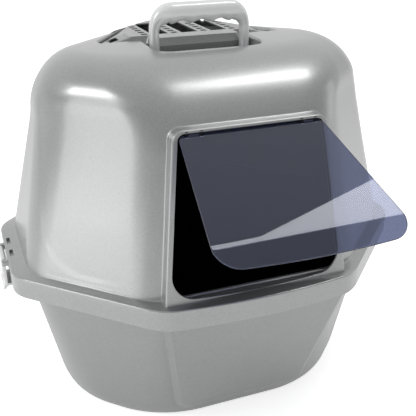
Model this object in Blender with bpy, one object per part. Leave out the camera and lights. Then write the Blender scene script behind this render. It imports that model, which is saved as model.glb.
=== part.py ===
"""Hooded corner litter box: a pan, a domed hood with a doorway, a swinging flap door,
a carry handle, a vented filter cover with its pad, and two side latches.

Frame: metres, +Z up, -Y is the front (doorway), +X to the right seen from the front.
The origin is on the underside of the pan's floor, on the plane of symmetry.
"""
import math

import bmesh
import bpy
from mathutils import Matrix, Vector

# ---------------------------------------------------------------- driving dimensions
BOX_WIDTH = 0.540            # across the hood's skirt, side to side
CREASE_HEIGHT = 0.212        # top edge of the skirt above the floor
SKIRT_DROP = 0.0265          # height of the skirt band
ROOF_HEIGHT = 0.469          # dome roof above the floor, where it meets its fillet
ROOF_CROWN = 0.002           # rise of the roof from there to its middle
WALL = 0.0025                # moulded wall of pan and hood
FIT_GAP = 0.0003             # gap left between pieces that touch
RUN_GAP = 0.0008             # gap between the pan's rim and the skirt around it
BACK_ROUND = 0.13            # radius of the rounded back corner
FRONT_BOW = 0.0112           # how far the front of the skirt bows out

# faces of the eight-sided plan, as distances from the upright axis
SKIRT_PLAN = dict(front=0.2368, chamfer=0.2555, side=BOX_WIDTH / 2, rear=0.2399, back=0.285)
DOME_FOOT = dict(front=0.2165, chamfer=0.2440, side=0.2510, rear=0.2300, back=0.2730)
DOME_HEAD = dict(front=0.1980, chamfer=0.2040, side=0.2166, rear=0.1720, back=0.2060)
ROOF_PLAN = dict(front=0.0750, chamfer=0.1320, side=0.1540, rear=0.1040, back=0.1340)
DOME_FILLET = dict(front=0.100, chamfer=0.052, side=0.074, rear=0.084, back=0.084)
DOME_FOOT_Z = CREASE_HEIGHT + 0.004     # height of DOME_FOOT
DOME_LEVELS = (0.295, 0.345, 0.385, 0.410, 0.430, 0.446, 0.457, 0.4645, 0.468)
SKIRT_ROUND, SKIRT_EASE = 0.045, 0.002
DOME_FOOT_ROUND, DOME_HEAD_ROUND = 0.070, 0.105
CROWN_SHARE, CROWN_ROUND = 0.45, 0.050  # last ring of the roof, as a share of the way to its middle
PAN_HEAD = dict(front=0.2290, chamfer=0.2345, side=0.2455, rear=0.2230, back=0.2680)
PAN_FOOT = dict(front=0.1690, chamfer=0.1990, side=0.2085, rear=0.1830, back=0.2200)
PAN_HEAD_ROUND, PAN_FOOT_ROUND = 0.048, 0.145
PAN_WALL_TOP = CREASE_HEIGHT - 0.030    # height of PAN_HEAD, under the rim's lip
LIP_DROP = 0.012             # how far the rim's lip hangs down
FLOOR_FILLET_RISE, FLOOR_FILLET_REACH = 0.025, 0.0060
PANEL_HEAD_HALF, PANEL_FOOT_HALF = 0.117, 0.0885   # raised front panel, half-widths
PANEL_FOOT, PANEL_ROUND = 0.0200, 0.012
PANEL_PROUD, PANEL_SINK, PANEL_EASE = 0.0035, 0.0015, 0.001
PANEL_HEAD_ROUND = 0.002

# doorway: a plane leaning back, y = DOOR_PLANE_Y + DOOR_LEAN * (z - CREASE_HEIGHT)
DOOR_PLANE_Y = -0.2297
DOOR_LEAN = 0.1450
HINGE_RISE = 0.1892          # hinge axis above the crease
DOOR_LENGTH = 0.1820          # hinge axis to the flap's lower corners
DOOR_RISE = 0.0018            # flap's upper edge above the hinge axis
DOOR_SAG = 0.0050             # drop of the flap's lower edge at its middle
DOORWAY_HALF = 0.1100        # half the doorway's width at the crease
DOOR_TAPER = 0.1177           # how fast the doorway widens downwards
DOOR_THICK = 0.0020
DOOR_OPEN_DEG = 67.0         # angle of the open flap from the vertical
DOORWAY_FOOT = 0.0065        # doorway's lower corners above the crease
DOORWAY_SAG = 0.0060         # drop of its lower edge at the middle
DOORWAY_FOOT_ROUND, DOORWAY_HEAD_ROUND = 0.0260, 0.0085
DOOR_FOOT_ROUND, DOOR_HEAD_ROUND = 0.0240, 0.0120
DOOR_SIDE_GAP = 0.0013
HINGE_DEPTH = 0.0030         # hinge axis behind the doorway's plane
HEAD_GAP = 0.0030            # hinge axis to the doorway's upper edge
LUG_X, LUG_WIDTH, EAR_WIDTH = 0.0690, 0.0120, 0.0045
EAR_HALF = 0.0024            # half an ear's height below and behind the axis
LUG_RADIUS = 0.0024
PORCH_MARGIN = 0.0065        # doorway's edge to the porch's outer edge
PORCH_FOOT, PORCH_HEAD = -0.002, 0.0035
PORCH_FOOT_ROUND, PORCH_HEAD_ROUND = 0.004, 0.015
PORCH_DEPTH = 0.105          # how far back the porch's slab reaches into the dome
PIN_RADIUS = 0.0012
PIN_GAP = 0.0002

# roof pocket, filter cover and handle
POCKET_FLOOR = 0.4560
POCKET_CENTRE_Y = 0.038      # the point the pocket's outline shrinks towards
POCKET_FLOOR_SCALE = 0.965   # the pocket's outline at its floor, against the roof's
POCKET_CORNERS = (           # right half of the pocket's rim: x, y, corner radius
    (0.0715, -0.0850, 0.022), (0.0715, -0.0080, 0.006), (0.1225, -0.0080, 0.008),
    (0.1225, 0.0150, 0.014), (0.0790, 0.0890, 0.030), (0.0300, 0.1385, 0.020))
COVER_TOP = 0.4745
COVER_SHOULDER = 0.4655       # where the cover's upright sides turn in
COVER_FOOT_CORNERS = (       # right half of the cover's foot, then of its top
    (0.0600, -0.0265, 0.005), (0.0600, -0.0035, 0.004), (0.1150, -0.0035, 0.006),
    (0.1150, 0.0150, 0.012), (0.0735, 0.0850, 0.026), (0.0265, 0.1310, 0.018))
COVER_TOP_CORNERS = (
    (0.0575, -0.0250, 0.005), (0.0575, -0.0015, 0.004), (0.0850, -0.0015, 0.006),
    (0.0850, 0.0280, 0.012), (0.0665, 0.0790, 0.016), (0.0230, 0.1210, 0.018))
COVER_WALL = 0.0022
COVER_SPREAD = 1.025          # growth of the cover's outline from its foot to its shoulder
COVER_EASE, COVER_EASE_SHARE = 0.0008, 0.988   # softened edge round the cover's top
CAVITY_SIDE_SHARE, CAVITY_TOP_SHARE = 0.970, 0.975
PAD_HALF_X, PAD_FRONT, PAD_BACK, PAD_THICK = 0.060, 0.004, 0.080, 0.0055
SLOT_PITCH, SLOT_HALF = 0.0410, 0.0112
SLOT_FRONT, SLOT_BACK = 0.0040, 0.0960
AIR_SLOTS, AIR_SLOT_PITCH, AIR_SLOT_HALF = 5, 0.030, 0.008    # through the pocket's floor
AIR_SLOT_FRONT, AIR_SLOT_BACK = 0.012, 0.098
HOLE_X = (0.0205, 0.0610)    # rows of holes, on both sides of the middle
HOLES, HOLE_FIRST, HOLE_PITCH = 5, 0.0090, 0.0155
HOLE_HALF = (0.0043, 0.0044)
VENT_X, VENT_Y, VENT_Z = (0.0960, 0.1250), (0.0030, 0.0230), (0.4665, 0.4712)
HANDLE_TOP = 0.5185
HANDLE_LEG_X = 0.0605
HANDLE_Y = -0.0350
GRIP_RADIUS, LEG_SHARE = 0.0130, 0.49
HANDLE_BEND = 0.022          # radius of the bend from leg to grip
SOCKET_HALF = (0.0070, 0.0062)
TONGUE_HALF = (0.0055, 0.0045)

# side latches
LATCH_Y = -0.0080
LATCH_AXIS_X, LATCH_AXIS_Z = 0.2750, 0.2030
LATCH_WIDTH = 0.0420
LATCH_FOOT = 0.1640
LATCH_SLOT_X, LATCH_SLOT_Y = 0.2640, 0.0190
LATCH_SLOT_HALF = (0.0023, 0.0094)
LATCH_SLOT_DEEP = 0.006
LATCH_RIBS, LATCH_RIB_TOP, LATCH_RIB_PITCH = 5, -0.0100, 0.0045
BARREL_RADIUS = 0.0036
KNUCKLE_OFFSET, KNUCKLE_HALF = 0.0045, 0.0038  # beyond the latch's end, and half its width
CATCH_Z, CATCH_ROOT_Z = (0.1700, 0.1735), 0.172
CATCH_HALF, CATCH_GAP = 0.020, 0.0165         # half its length, and its edge inside the latch's axis

SILVER = (0.42, 0.43, 0.43)
PALE = (0.78, 0.79, 0.80)
SMOKE = (0.16, 0.18, 0.30)
CARBON = (0.03, 0.03, 0.03)

for old in list(bpy.data.objects):
    bpy.data.objects.remove(old, do_unlink=True)

parts = bpy.data.collections.new("corner_litter_box")
cutters = bpy.data.collections.new("cutters")
for folder in (parts, cutters):
    bpy.context.scene.collection.children.link(folder)


# ---------------------------------------------------------------- helpers
def material(name, colour, roughness, metallic=0.0, alpha=1.0):
    finish = bpy.data.materials.new(name)
    finish.use_nodes = True
    shader = finish.node_tree.nodes["Principled BSDF"]
    shader.inputs["Base Color"].default_value = (*colour, 1.0)
    shader.inputs["Roughness"].default_value = roughness
    shader.inputs["Metallic"].default_value = metallic
    shader.inputs["Alpha"].default_value = alpha
    return finish


def add_object(name, mesh, folder, finish=None):
    piece = bpy.data.objects.new(name, mesh)
    folder.objects.link(piece)
    if finish is not None:
        mesh.materials.append(finish)
    if folder is cutters:
        piece.hide_render = True
        piece.display_type = "WIRE"
    return piece


def mesh_from(bm, name):
    bmesh.ops.recalc_face_normals(bm, faces=bm.faces)
    mesh = bpy.data.meshes.new(name)
    bm.to_mesh(mesh)
    bm.free()
    mesh.shade_smooth()
    mesh.set_sharp_from_angle(angle=math.radians(30))
    return mesh


def loft(rings, name):
    """A closed skin through rings of equal point count, capped at both ends."""
    bm = bmesh.new()
    loops = [[bm.verts.new(point) for point in ring] for ring in rings]
    count = len(loops[0])
    for low, high in zip(loops, loops[1:]):
        for i in range(count):
            j = (i + 1) % count
            bm.faces.new((low[i], low[j], high[j], high[i]))
    bm.faces.new(loops[0])
    bm.faces.new(loops[-1])
    return mesh_from(bm, name)


def block(name, low, high):
    """A box between two corners."""
    bm = bmesh.new()
    size = [b - a for a, b in zip(low, high)]
    middle = [(a + b) / 2 for a, b in zip(low, high)]
    matrix = Matrix.Translation(middle) @ Matrix.Diagonal((*size, 1.0))
    bmesh.ops.create_cube(bm, size=1.0, matrix=matrix)
    return mesh_from(bm, name)


def rod(name, start, end, radius, sides=16):
    """A round bar between two points."""
    start, end = Vector(start), Vector(end)
    turn = (end - start).to_track_quat("Z", "Y").to_matrix().to_4x4()
    bm = bmesh.new()
    bmesh.ops.create_cone(bm, cap_ends=True, segments=sides, radius1=radius, radius2=radius,
                          depth=(end - start).length,
                          matrix=Matrix.Translation((start + end) / 2) @ turn)
    return mesh_from(bm, name)


def boolean(piece, mesh, operation):
    """Join or cut a piece with a mesh and keep the result in the piece."""
    tool = add_object(mesh.name, mesh, cutters)
    step = piece.modifiers.new(mesh.name, "BOOLEAN")
    step.operation = operation
    step.solver = "EXACT"
    step.object = tool
    depsgraph = bpy.context.evaluated_depsgraph_get()
    result = bpy.data.meshes.new_from_object(piece.evaluated_get(depsgraph))
    piece.modifiers.remove(step)
    piece.data = result
    result.shade_smooth()
    result.set_sharp_from_angle(angle=math.radians(30))


def rounded(corners, steps=4):
    """Points round a polygon whose corners (x, y, radius) are rounded off."""
    points = []
    count = len(corners)
    for i, (x, y, radius) in enumerate(corners):
        here = Vector((x, y))
        before = (Vector(corners[i - 1][:2]) - here).normalized()
        after = (Vector(corners[(i + 1) % count][:2]) - here).normalized()
        half = before.angle(after) / 2
        reach = radius / math.tan(half)
        centre = here + (before + after).normalized() * (radius / math.sin(half))
        first = here + before * reach - centre
        last = here + after * reach - centre
        start = math.atan2(first.y, first.x)
        sweep = math.atan2(first.cross(last), first.dot(last))
        for k in range(steps + 1):
            angle = start + sweep * k / steps
            points.append(centre + radius * Vector((math.cos(angle), math.sin(angle))))
    return points


# ---------------------------------------------------------------- the eight-sided plan
FACES = ("front", "chamfer", "side", "rear", "back", "rear", "side", "chamfer")
ARC_STEPS = 4
FRONT_STEPS = 4


def plan(face_distance, corner_round, bow=0.0):
    """Points round the eight-sided plan, with rounded corners and a bowed front."""
    corners = []
    for i in range(8):
        angle_a = math.radians(-90 + 45 * i)
        angle_b = angle_a + math.radians(45)
        dist_a = face_distance[FACES[i]]
        dist_b = face_distance[FACES[(i + 1) % 8]]
        along = (dist_b - dist_a * math.cos(math.pi / 4)) / math.sin(math.pi / 4)
        corners.append((dist_a * math.cos(angle_a) - along * math.sin(angle_a),
                        dist_a * math.sin(angle_a) + along * math.cos(angle_a)))
    points = []
    for i, (x, y) in enumerate(corners):
        wanted = BACK_ROUND if i in (3, 4) else corner_round
        before = math.dist((x, y), corners[i - 1])
        after = math.dist((x, y), corners[(i + 1) % 8])
        reach = min(wanted * math.tan(math.pi / 8), 0.46 * before, 0.46 * after)
        radius = reach / math.tan(math.pi / 8)
        angle_a = math.radians(-90 + 45 * i)
        centre_x = x - radius * math.cos(angle_a) + reach * math.sin(angle_a)
        centre_y = y - radius * math.sin(angle_a) - reach * math.cos(angle_a)
        for k in range(ARC_STEPS + 1):
            angle = angle_a + math.radians(45) * k / ARC_STEPS
            points.append((centre_x + radius * math.cos(angle),
                           centre_y + radius * math.sin(angle)))
    first, last = points[-1], points[0]
    for k in range(1, FRONT_STEPS):
        share = k / FRONT_STEPS
        points.append((first[0] + (last[0] - first[0]) * share, first[1]))
    return [bowed(x, y, face_distance["front"], bow) for x, y in points]


def bowed(x, y, front, bow):
    """Push the front of the plan outwards, most at the middle."""
    half = 0.13
    if bow == 0.0 or abs(x) > half or y > -front + 0.02:
        return (x, y)
    return (x, y - bow * (1.0 - (x / half) ** 2))


def offset(face_distance, inward):
    return {face: distance - inward for face, distance in face_distance.items()}


def blend(start, end, share):
    return {face: start[face] + (end[face] - start[face]) * share for face in start}


def level(points, z):
    return [(x, y, z) for x, y in points]


# ---------------------------------------------------------------- pan
def pan_distances(z, inward=0.0):
    """The pan's wall at a height, curving in to its floor at the bottom."""
    distance = blend(PAN_HEAD, PAN_FOOT, (PAN_WALL_TOP - z) / PAN_WALL_TOP)
    if z < FLOOR_FILLET_RISE:
        drop = 1.0 - z / FLOOR_FILLET_RISE
        inward += FLOOR_FILLET_REACH * (1.0 - math.sqrt(1.0 - drop ** 2))
    return offset(distance, inward)


def pan_round(z):
    share = (CREASE_HEIGHT - z) / CREASE_HEIGHT
    return PAN_HEAD_ROUND + (PAN_FOOT_ROUND - PAN_HEAD_ROUND) * share


def pan_wall_rings(inward, floor, top):
    """Rings up the pan's wall, from the floor's fillet to the rim."""
    heights = [FLOOR_FILLET_RISE * (1 - math.cos(math.radians(90 * k / 4))) for k in range(4)]
    heights += [FLOOR_FILLET_RISE, 0.5 * (FLOOR_FILLET_RISE + top)]
    rings = [level(plan(pan_distances(z, inward), pan_round(z)), floor + z) for z in heights]
    rings.append(level(plan(pan_distances(top, inward), pan_round(top)), top))
    return rings


def build_pan(finish):
    rim_top = CREASE_HEIGHT - WALL - FIT_GAP
    rim_under = rim_top - WALL
    lip_foot = rim_top - LIP_DROP
    lip_out = offset(SKIRT_PLAN, WALL + RUN_GAP)
    lip_in = offset(lip_out, WALL)
    outside = pan_wall_rings(0.0, 0.0, rim_under)
    inside = pan_wall_rings(WALL, WALL, rim_top)
    rim = [level(plan(lip_in, PAN_HEAD_ROUND, FRONT_BOW), rim_under),
           level(plan(lip_in, PAN_HEAD_ROUND, FRONT_BOW), lip_foot),
           level(plan(lip_out, PAN_HEAD_ROUND, FRONT_BOW), lip_foot),
           level(plan(lip_out, PAN_HEAD_ROUND, FRONT_BOW), rim_top)]
    pan = add_object("pan", loft(outside + rim + inside[::-1], "pan"), parts, finish)

    # raised flat panel on the front, with rounded lower corners
    outline = rounded([(-PANEL_HEAD_HALF, PAN_WALL_TOP, PANEL_HEAD_ROUND),
                       (-PANEL_FOOT_HALF, PANEL_FOOT, PANEL_ROUND),
                       (PANEL_FOOT_HALF, PANEL_FOOT, PANEL_ROUND),
                       (PANEL_HEAD_HALF, PAN_WALL_TOP, PANEL_HEAD_ROUND)])

    def panel_point(point, stand):
        x, z = point
        return (x, -pan_distances(z)["front"] - stand, z)

    panel = loft([[panel_point(p, -PANEL_SINK) for p in outline],
                  [panel_point(p, PANEL_PROUD - PANEL_EASE) for p in outline],
                  [panel_point(p * 0.985 + Vector((0, 0.0012)), PANEL_PROUD) for p in outline]],
                 "front_panel")
    boolean(pan, panel, "UNION")

    # catch ribs for the latches, one on each side
    for side in (-1, 1):
        inner = side * (pan_distances(CATCH_ROOT_Z)["side"] - 0.0015)
        outer = side * (LATCH_AXIS_X - CATCH_GAP)
        rib = block("catch_rib", (min(inner, outer), LATCH_Y - CATCH_HALF, CATCH_Z[0]),
                    (max(inner, outer), LATCH_Y + CATCH_HALF, CATCH_Z[1]))
        boolean(pan, rib, "UNION")
    return pan


# ---------------------------------------------------------------- hood
def dome_distances(z, inward=0.0):
    """The dome's wall at a height: a leaning wall, then an elliptical fillet per face."""
    distance = {}
    for face, fillet in DOME_FILLET.items():
        fillet_z = ROOF_HEIGHT - fillet
        if z <= fillet_z:
            share = (z - DOME_FOOT_Z) / (fillet_z - DOME_FOOT_Z)
            distance[face] = DOME_FOOT[face] + (DOME_HEAD[face] - DOME_FOOT[face]) * share
        else:
            rise = min(1.0, (z - fillet_z) / fillet)
            reach = DOME_HEAD[face] - ROOF_PLAN[face]
            distance[face] = ROOF_PLAN[face] + reach * math.sqrt(1.0 - rise ** 2)
    return offset(distance, inward)


def dome_rings(inward, drop):
    """Rings up the dome, from its foot to the roof."""
    rings = []
    for z in (DOME_FOOT_Z, *DOME_LEVELS, ROOF_HEIGHT):
        share = (z - DOME_FOOT_Z) / (ROOF_HEIGHT - DOME_FOOT_Z)
        corner = DOME_FOOT_ROUND + (DOME_HEAD_ROUND - DOME_FOOT_ROUND) * share
        rings.append(level(plan(dome_distances(z, inward), corner), z - drop))
    crown = blend(ROOF_PLAN, {face: 0.0 for face in ROOF_PLAN}, CROWN_SHARE)
    rings.append(level(plan(crown, CROWN_ROUND), ROOF_HEIGHT + 0.7 * ROOF_CROWN - drop))
    return rings


def doorway_half_width(z):
    """Half the doorway's width at a height above the crease."""
    return DOORWAY_HALF - DOOR_TAPER * z


def on_door_plane(x, z, stand=0.0):
    """A point in the doorway's plane, or standing forward of it."""
    return (x, DOOR_PLANE_Y + DOOR_LEAN * z - stand, CREASE_HEIGHT + z)


def door_outline(margin, foot, head, foot_round, head_round, sag=0.0):
    """The doorway's trapezoid, grown by a margin; the lower edge may sag."""
    low = doorway_half_width(foot) + margin
    high = doorway_half_width(head) + margin
    points = rounded([(-high, head, head_round), (-low, foot, foot_round),
                      (low, foot, foot_round), (high, head, head_round)])
    middle = (foot + head) / 2
    return [(x, z - sag * (1 - (x / low) ** 2) if z < middle else z) for x, z in points]


def prism(name, outline, stands, shrink=None):
    """A slab on the doorway's plane through several depths."""
    shrink = shrink or [1.0] * len(stands)
    centre = sum(z for _, z in outline) / len(outline)
    rings = []
    for stand, scale in zip(stands, shrink):
        rings.append([on_door_plane(x * scale, centre + (z - centre) * scale, stand)
                      for x, z in outline])
    return loft(rings, name)


def build_hood(finish):
    skirt_foot = CREASE_HEIGHT - SKIRT_DROP
    eased = plan(offset(SKIRT_PLAN, SKIRT_EASE), SKIRT_ROUND, FRONT_BOW)
    shell = [level(plan(SKIRT_PLAN, SKIRT_ROUND, FRONT_BOW), skirt_foot),
             level(plan(SKIRT_PLAN, SKIRT_ROUND, FRONT_BOW), CREASE_HEIGHT - SKIRT_EASE),
             level(eased, CREASE_HEIGHT)]
    hood = add_object("hood", loft(shell + dome_rings(0.0, 0.0), "hood"), parts, finish)

    # porch: the doorway's surround stands forward of the dome
    head = HINGE_RISE + HEAD_GAP
    body = door_outline(PORCH_MARGIN, PORCH_FOOT, head + PORCH_HEAD, PORCH_FOOT_ROUND, PORCH_HEAD_ROUND)
    slab = prism("porch", body, (-PORCH_DEPTH, -0.003, -0.001, 0.0), (1, 1, 0.995, 0.985))
    boolean(hood, slab, "UNION")

    # hollow: the skirt, the dome and the porch are cut back to a thin wall
    in_skirt = offset(SKIRT_PLAN, WALL)
    hollow = [level(plan(in_skirt, SKIRT_ROUND, FRONT_BOW), skirt_foot - 0.01),
              level(plan(in_skirt, SKIRT_ROUND, FRONT_BOW), CREASE_HEIGHT - WALL)]
    boolean(hood, loft(hollow + dome_rings(WALL, WALL), "hollow"), "DIFFERENCE")
    inner_body = door_outline(PORCH_MARGIN - WALL, 0.0015, head + PORCH_HEAD - WALL, PORCH_FOOT_ROUND,
                              PORCH_HEAD_ROUND - WALL)
    boolean(hood, prism("porch_hollow", inner_body, (-0.085, -WALL)), "DIFFERENCE")
    return hood


def cut_doorway(hood):
    """The doorway, with two pairs of ears under its upper edge for the hinge pins."""
    head = HINGE_RISE + HEAD_GAP
    opening = door_outline(0.0, DOORWAY_FOOT, head, DOORWAY_FOOT_ROUND, DOORWAY_HEAD_ROUND,
                           sag=DOORWAY_SAG)
    boolean(hood, prism("doorway", opening, (-0.070, 0.020)), "DIFFERENCE")
    axis = hinge_axis()
    for side in (-1, 1):
        for end in (-1, 1):
            middle = side * LUG_X + end * (LUG_WIDTH / 2 + FIT_GAP + EAR_WIDTH / 2)
            low = (middle - EAR_WIDTH / 2, axis.y - EAR_HALF, axis.z - EAR_HALF)
            high = (middle + EAR_WIDTH / 2, axis.y + EAR_HALF, axis.z + HEAD_GAP + 0.002)
            boolean(hood, block("ear", low, high), "UNION")
        reach = LUG_WIDTH / 2 + EAR_WIDTH - 0.0006
        boolean(hood, rod("pin_bore", (side * LUG_X - reach, axis.y, axis.z),
                          (side * LUG_X + reach, axis.y, axis.z), PIN_RADIUS + PIN_GAP), "DIFFERENCE")


def mirrored(right_half):
    """A whole outline from the corners of its right half, listed front to back."""
    return rounded([(-x, y, r) for x, y, r in right_half[:1]] + list(right_half)
                   + [(-x, y, r) for x, y, r in right_half[:0:-1]], steps=3)


def cut_roof(hood):
    """The roof's pocket, its air slots, and the sockets for the handle's feet."""
    outline = mirrored(POCKET_CORNERS)
    floor = POCKET_FLOOR
    backing = loft([level(outline_scaled(outline, 1.03), floor - WALL),
                    level(outline_scaled(outline, 1.03), ROOF_HEIGHT - WALL / 2)], "pocket_floor")
    boolean(hood, backing, "UNION")
    boolean(hood, loft([level(outline_scaled(outline, POCKET_FLOOR_SCALE), floor),
                        level(outline_scaled(outline, 0.99), ROOF_HEIGHT - 0.002),
                        level(outline_scaled(outline, 1.02), ROOF_HEIGHT + 0.03)], "pocket"), "DIFFERENCE")
    through = (floor - 0.010, floor + 0.005)
    for i in range(AIR_SLOTS):
        x = AIR_SLOT_PITCH * (i - (AIR_SLOTS - 1) / 2)
        boolean(hood, block("air_slot", (x - AIR_SLOT_HALF, AIR_SLOT_FRONT, through[0]),
                            (x + AIR_SLOT_HALF, AIR_SLOT_BACK, through[1])), "DIFFERENCE")
    half_x, half_y = SOCKET_HALF
    for side in (-1, 1):
        x = side * HANDLE_LEG_X
        boolean(hood, block("handle_socket", (x - half_x, HANDLE_Y - half_y, through[0]),
                            (x + half_x, HANDLE_Y + half_y, through[1])), "DIFFERENCE")


def outline_scaled(points, scale):
    return [(x * scale, POCKET_CENTRE_Y + (y - POCKET_CENTRE_Y) * scale) for x, y in points]


def add_latch_knuckles(hood):
    for side in (-1, 1):
        for end in (-1, 1):
            y = LATCH_Y + end * (LATCH_WIDTH / 2 + KNUCKLE_OFFSET)
            skin = side * (SKIRT_PLAN["side"] - WALL / 2)
            tip = side * (LATCH_AXIS_X + 0.0030)
            low = (min(skin, tip), y - KNUCKLE_HALF, LATCH_AXIS_Z - BARREL_RADIUS)
            high = (max(skin, tip), y + KNUCKLE_HALF, LATCH_AXIS_Z + BARREL_RADIUS)
            boolean(hood, block("knuckle", low, high), "UNION")
        axis_x = side * LATCH_AXIS_X
        reach = LATCH_WIDTH / 2 + 0.0065
        boolean(hood, rod("latch_bore", (axis_x, LATCH_Y - reach, LATCH_AXIS_Z),
                          (axis_x, LATCH_Y + reach, LATCH_AXIS_Z), PIN_RADIUS + PIN_GAP), "DIFFERENCE")
        half_x, half_y = LATCH_SLOT_HALF
        for end in (-1, 1):
            x = side * LATCH_SLOT_X
            y = LATCH_Y + end * LATCH_SLOT_Y
            low = (x - half_x, y - half_y, CREASE_HEIGHT - LATCH_SLOT_DEEP)
            high = (x + half_x, y + half_y, CREASE_HEIGHT + LATCH_SLOT_DEEP)
            boolean(hood, block("latch_slot", low, high), "DIFFERENCE")


# ---------------------------------------------------------------- door
def hinge_axis():
    return Vector(on_door_plane(0.0, HINGE_RISE, -HINGE_DEPTH))


def build_door(finish, pin_finish):
    """The flap hangs from two lugs on its top edge and is stored swung open."""
    top = doorway_half_width(HINGE_RISE) - DOOR_SIDE_GAP
    low = top + DOOR_LENGTH * math.cos(math.atan(DOOR_LEAN)) * DOOR_TAPER
    outline = rounded([(-top, DOOR_RISE, DOOR_HEAD_ROUND), (-low, -DOOR_LENGTH, DOOR_FOOT_ROUND),
                       (low, -DOOR_LENGTH, DOOR_FOOT_ROUND), (top, DOOR_RISE, DOOR_HEAD_ROUND)])
    outline = [(x, z - DOOR_SAG * (1 - (x / low) ** 2) if z < -DOOR_LENGTH / 2 else z)
               for x, z in outline]
    half = DOOR_THICK / 2
    panel = loft([[(x, -half, z) for x, z in outline], [(x, half, z) for x, z in outline]], "door")
    door = add_object("door", panel, parts, finish)
    pins = []
    for side in (-1, 1):
        x = side * LUG_X
        for end in (-1, 1):
            middle = x + end * (LUG_WIDTH / 2 + EAR_WIDTH / 2 + FIT_GAP)
            boolean(door, block("ear_notch", (middle - EAR_WIDTH / 2 - FIT_GAP, -0.005, -0.0042),
                                (middle + EAR_WIDTH / 2 + FIT_GAP, 0.005, 0.005)), "DIFFERENCE")
        lug = rod("lug", (x - LUG_WIDTH / 2, 0, 0), (x + LUG_WIDTH / 2, 0, 0), LUG_RADIUS)
        boolean(door, lug, "UNION")
        bored = LUG_WIDTH / 2 + 0.0002
        boolean(door, rod("lug_bore", (x - bored, 0, 0), (x + bored, 0, 0), PIN_RADIUS + PIN_GAP),
                "DIFFERENCE")
        name = "door_pin_right" if side > 0 else "door_pin_left"
        reach = LUG_WIDTH / 2 + EAR_WIDTH - 0.0010
        pins.append(add_object(name, rod(name, (x - reach, 0, 0), (x + reach, 0, 0), PIN_RADIUS),
                               parts, pin_finish))
    for piece in [door] + pins:
        piece.location = hinge_axis()
        piece.rotation_euler.x = math.radians(-DOOR_OPEN_DEG)
    return door


# ---------------------------------------------------------------- handle
def build_handle(finish):
    """A bail: two legs and a thick grip, one swept bar with a varying radius."""
    leg_top = HANDLE_TOP - GRIP_RADIUS
    bend_foot = leg_top - HANDLE_BEND
    route = [(-HANDLE_LEG_X, POCKET_FLOOR - 0.0020, LEG_SHARE), (-HANDLE_LEG_X, bend_foot, LEG_SHARE)]
    for k in range(1, 5):
        angle = math.radians(90 * k / 4)
        route.append((-HANDLE_LEG_X + HANDLE_BEND * (1 - math.cos(angle)),
                      bend_foot + HANDLE_BEND * math.sin(angle), LEG_SHARE + (1 - LEG_SHARE) * k / 4))
    route.append((0.0, leg_top, 1.0))
    route += [(-x, z, radius) for x, z, radius in route[-2::-1]]
    curve = bpy.data.curves.new("handle", "CURVE")
    curve.dimensions = "3D"
    curve.bevel_depth = GRIP_RADIUS
    curve.bevel_resolution = 3
    curve.use_fill_caps = True
    spline = curve.splines.new("POLY")
    spline.points.add(len(route) - 1)
    for point, (x, z, radius) in zip(spline.points, route):
        point.co = (x, HANDLE_Y, z, 1.0)
        point.radius = radius
    bar = bpy.data.objects.new("handle_bar", curve)
    parts.objects.link(bar)
    depsgraph = bpy.context.evaluated_depsgraph_get()
    mesh = bpy.data.meshes.new_from_object(bar.evaluated_get(depsgraph))
    bpy.data.objects.remove(bar)
    bm = bmesh.new()
    bm.from_mesh(mesh)
    bmesh.ops.remove_doubles(bm, verts=bm.verts, dist=0.00001)
    handle = add_object("handle", mesh_from(bm, "handle"), parts, finish)

    # snap tongues that go down through the roof pocket's sockets
    half_x, half_y = TONGUE_HALF
    for side in (-1, 1):
        x = side * HANDLE_LEG_X
        boolean(handle, block("tongue", (x - half_x, HANDLE_Y - half_y, POCKET_FLOOR - 0.010),
                              (x + half_x, HANDLE_Y + half_y, POCKET_FLOOR + 0.006)), "UNION")
    return handle


# ---------------------------------------------------------------- filter
def build_filter(cover_finish, pad_finish):
    floor = POCKET_FLOOR + FIT_GAP
    foot, top = mirrored(COVER_FOOT_CORNERS), mirrored(COVER_TOP_CORNERS)
    shoulder = outline_scaled(foot, COVER_SPREAD)
    outer = [level(foot, floor), level(shoulder, COVER_SHOULDER), level(top, COVER_TOP - COVER_EASE),
             level(outline_scaled(top, COVER_EASE_SHARE), COVER_TOP)]
    cover = add_object("filter_cover", loft(outer, "filter_cover"), parts, cover_finish)
    inner = [level(outline_scaled(foot, CAVITY_SIDE_SHARE), floor - 0.0005),
             level(outline_scaled(shoulder, CAVITY_SIDE_SHARE), COVER_SHOULDER - COVER_WALL / 2),
             level(outline_scaled(top, CAVITY_TOP_SHARE), COVER_TOP - COVER_WALL)]
    boolean(cover, loft(inner, "cover_hollow"), "DIFFERENCE")
    low, high = COVER_TOP - 0.006, COVER_TOP + 0.004
    for i in (-1, 0, 1):
        x = SLOT_PITCH * i
        boolean(cover, block("cover_slot", (x - SLOT_HALF, SLOT_FRONT, low),
                             (x + SLOT_HALF, SLOT_BACK, high)), "DIFFERENCE")
    half_x, half_y = HOLE_HALF
    for x in [side * row for side in (-1, 1) for row in HOLE_X]:
        for k in range(HOLES):
            y = HOLE_FIRST + HOLE_PITCH * k
            boolean(cover, block("cover_hole", (x - half_x, y - half_y, low),
                                 (x + half_x, y + half_y, high)), "DIFFERENCE")
    for side in (-1, 1):
        low_x, high_x = sorted((side * VENT_X[0], side * VENT_X[1]))
        boolean(cover, block("side_vent", (low_x, VENT_Y[0], VENT_Z[0]), (high_x, VENT_Y[1], VENT_Z[1])),
                "DIFFERENCE")
    pad = block("filter_pad", (-PAD_HALF_X, PAD_FRONT, floor), (PAD_HALF_X, PAD_BACK, floor + PAD_THICK))
    add_object("filter_pad", pad, parts, pad_finish)
    return cover


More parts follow.
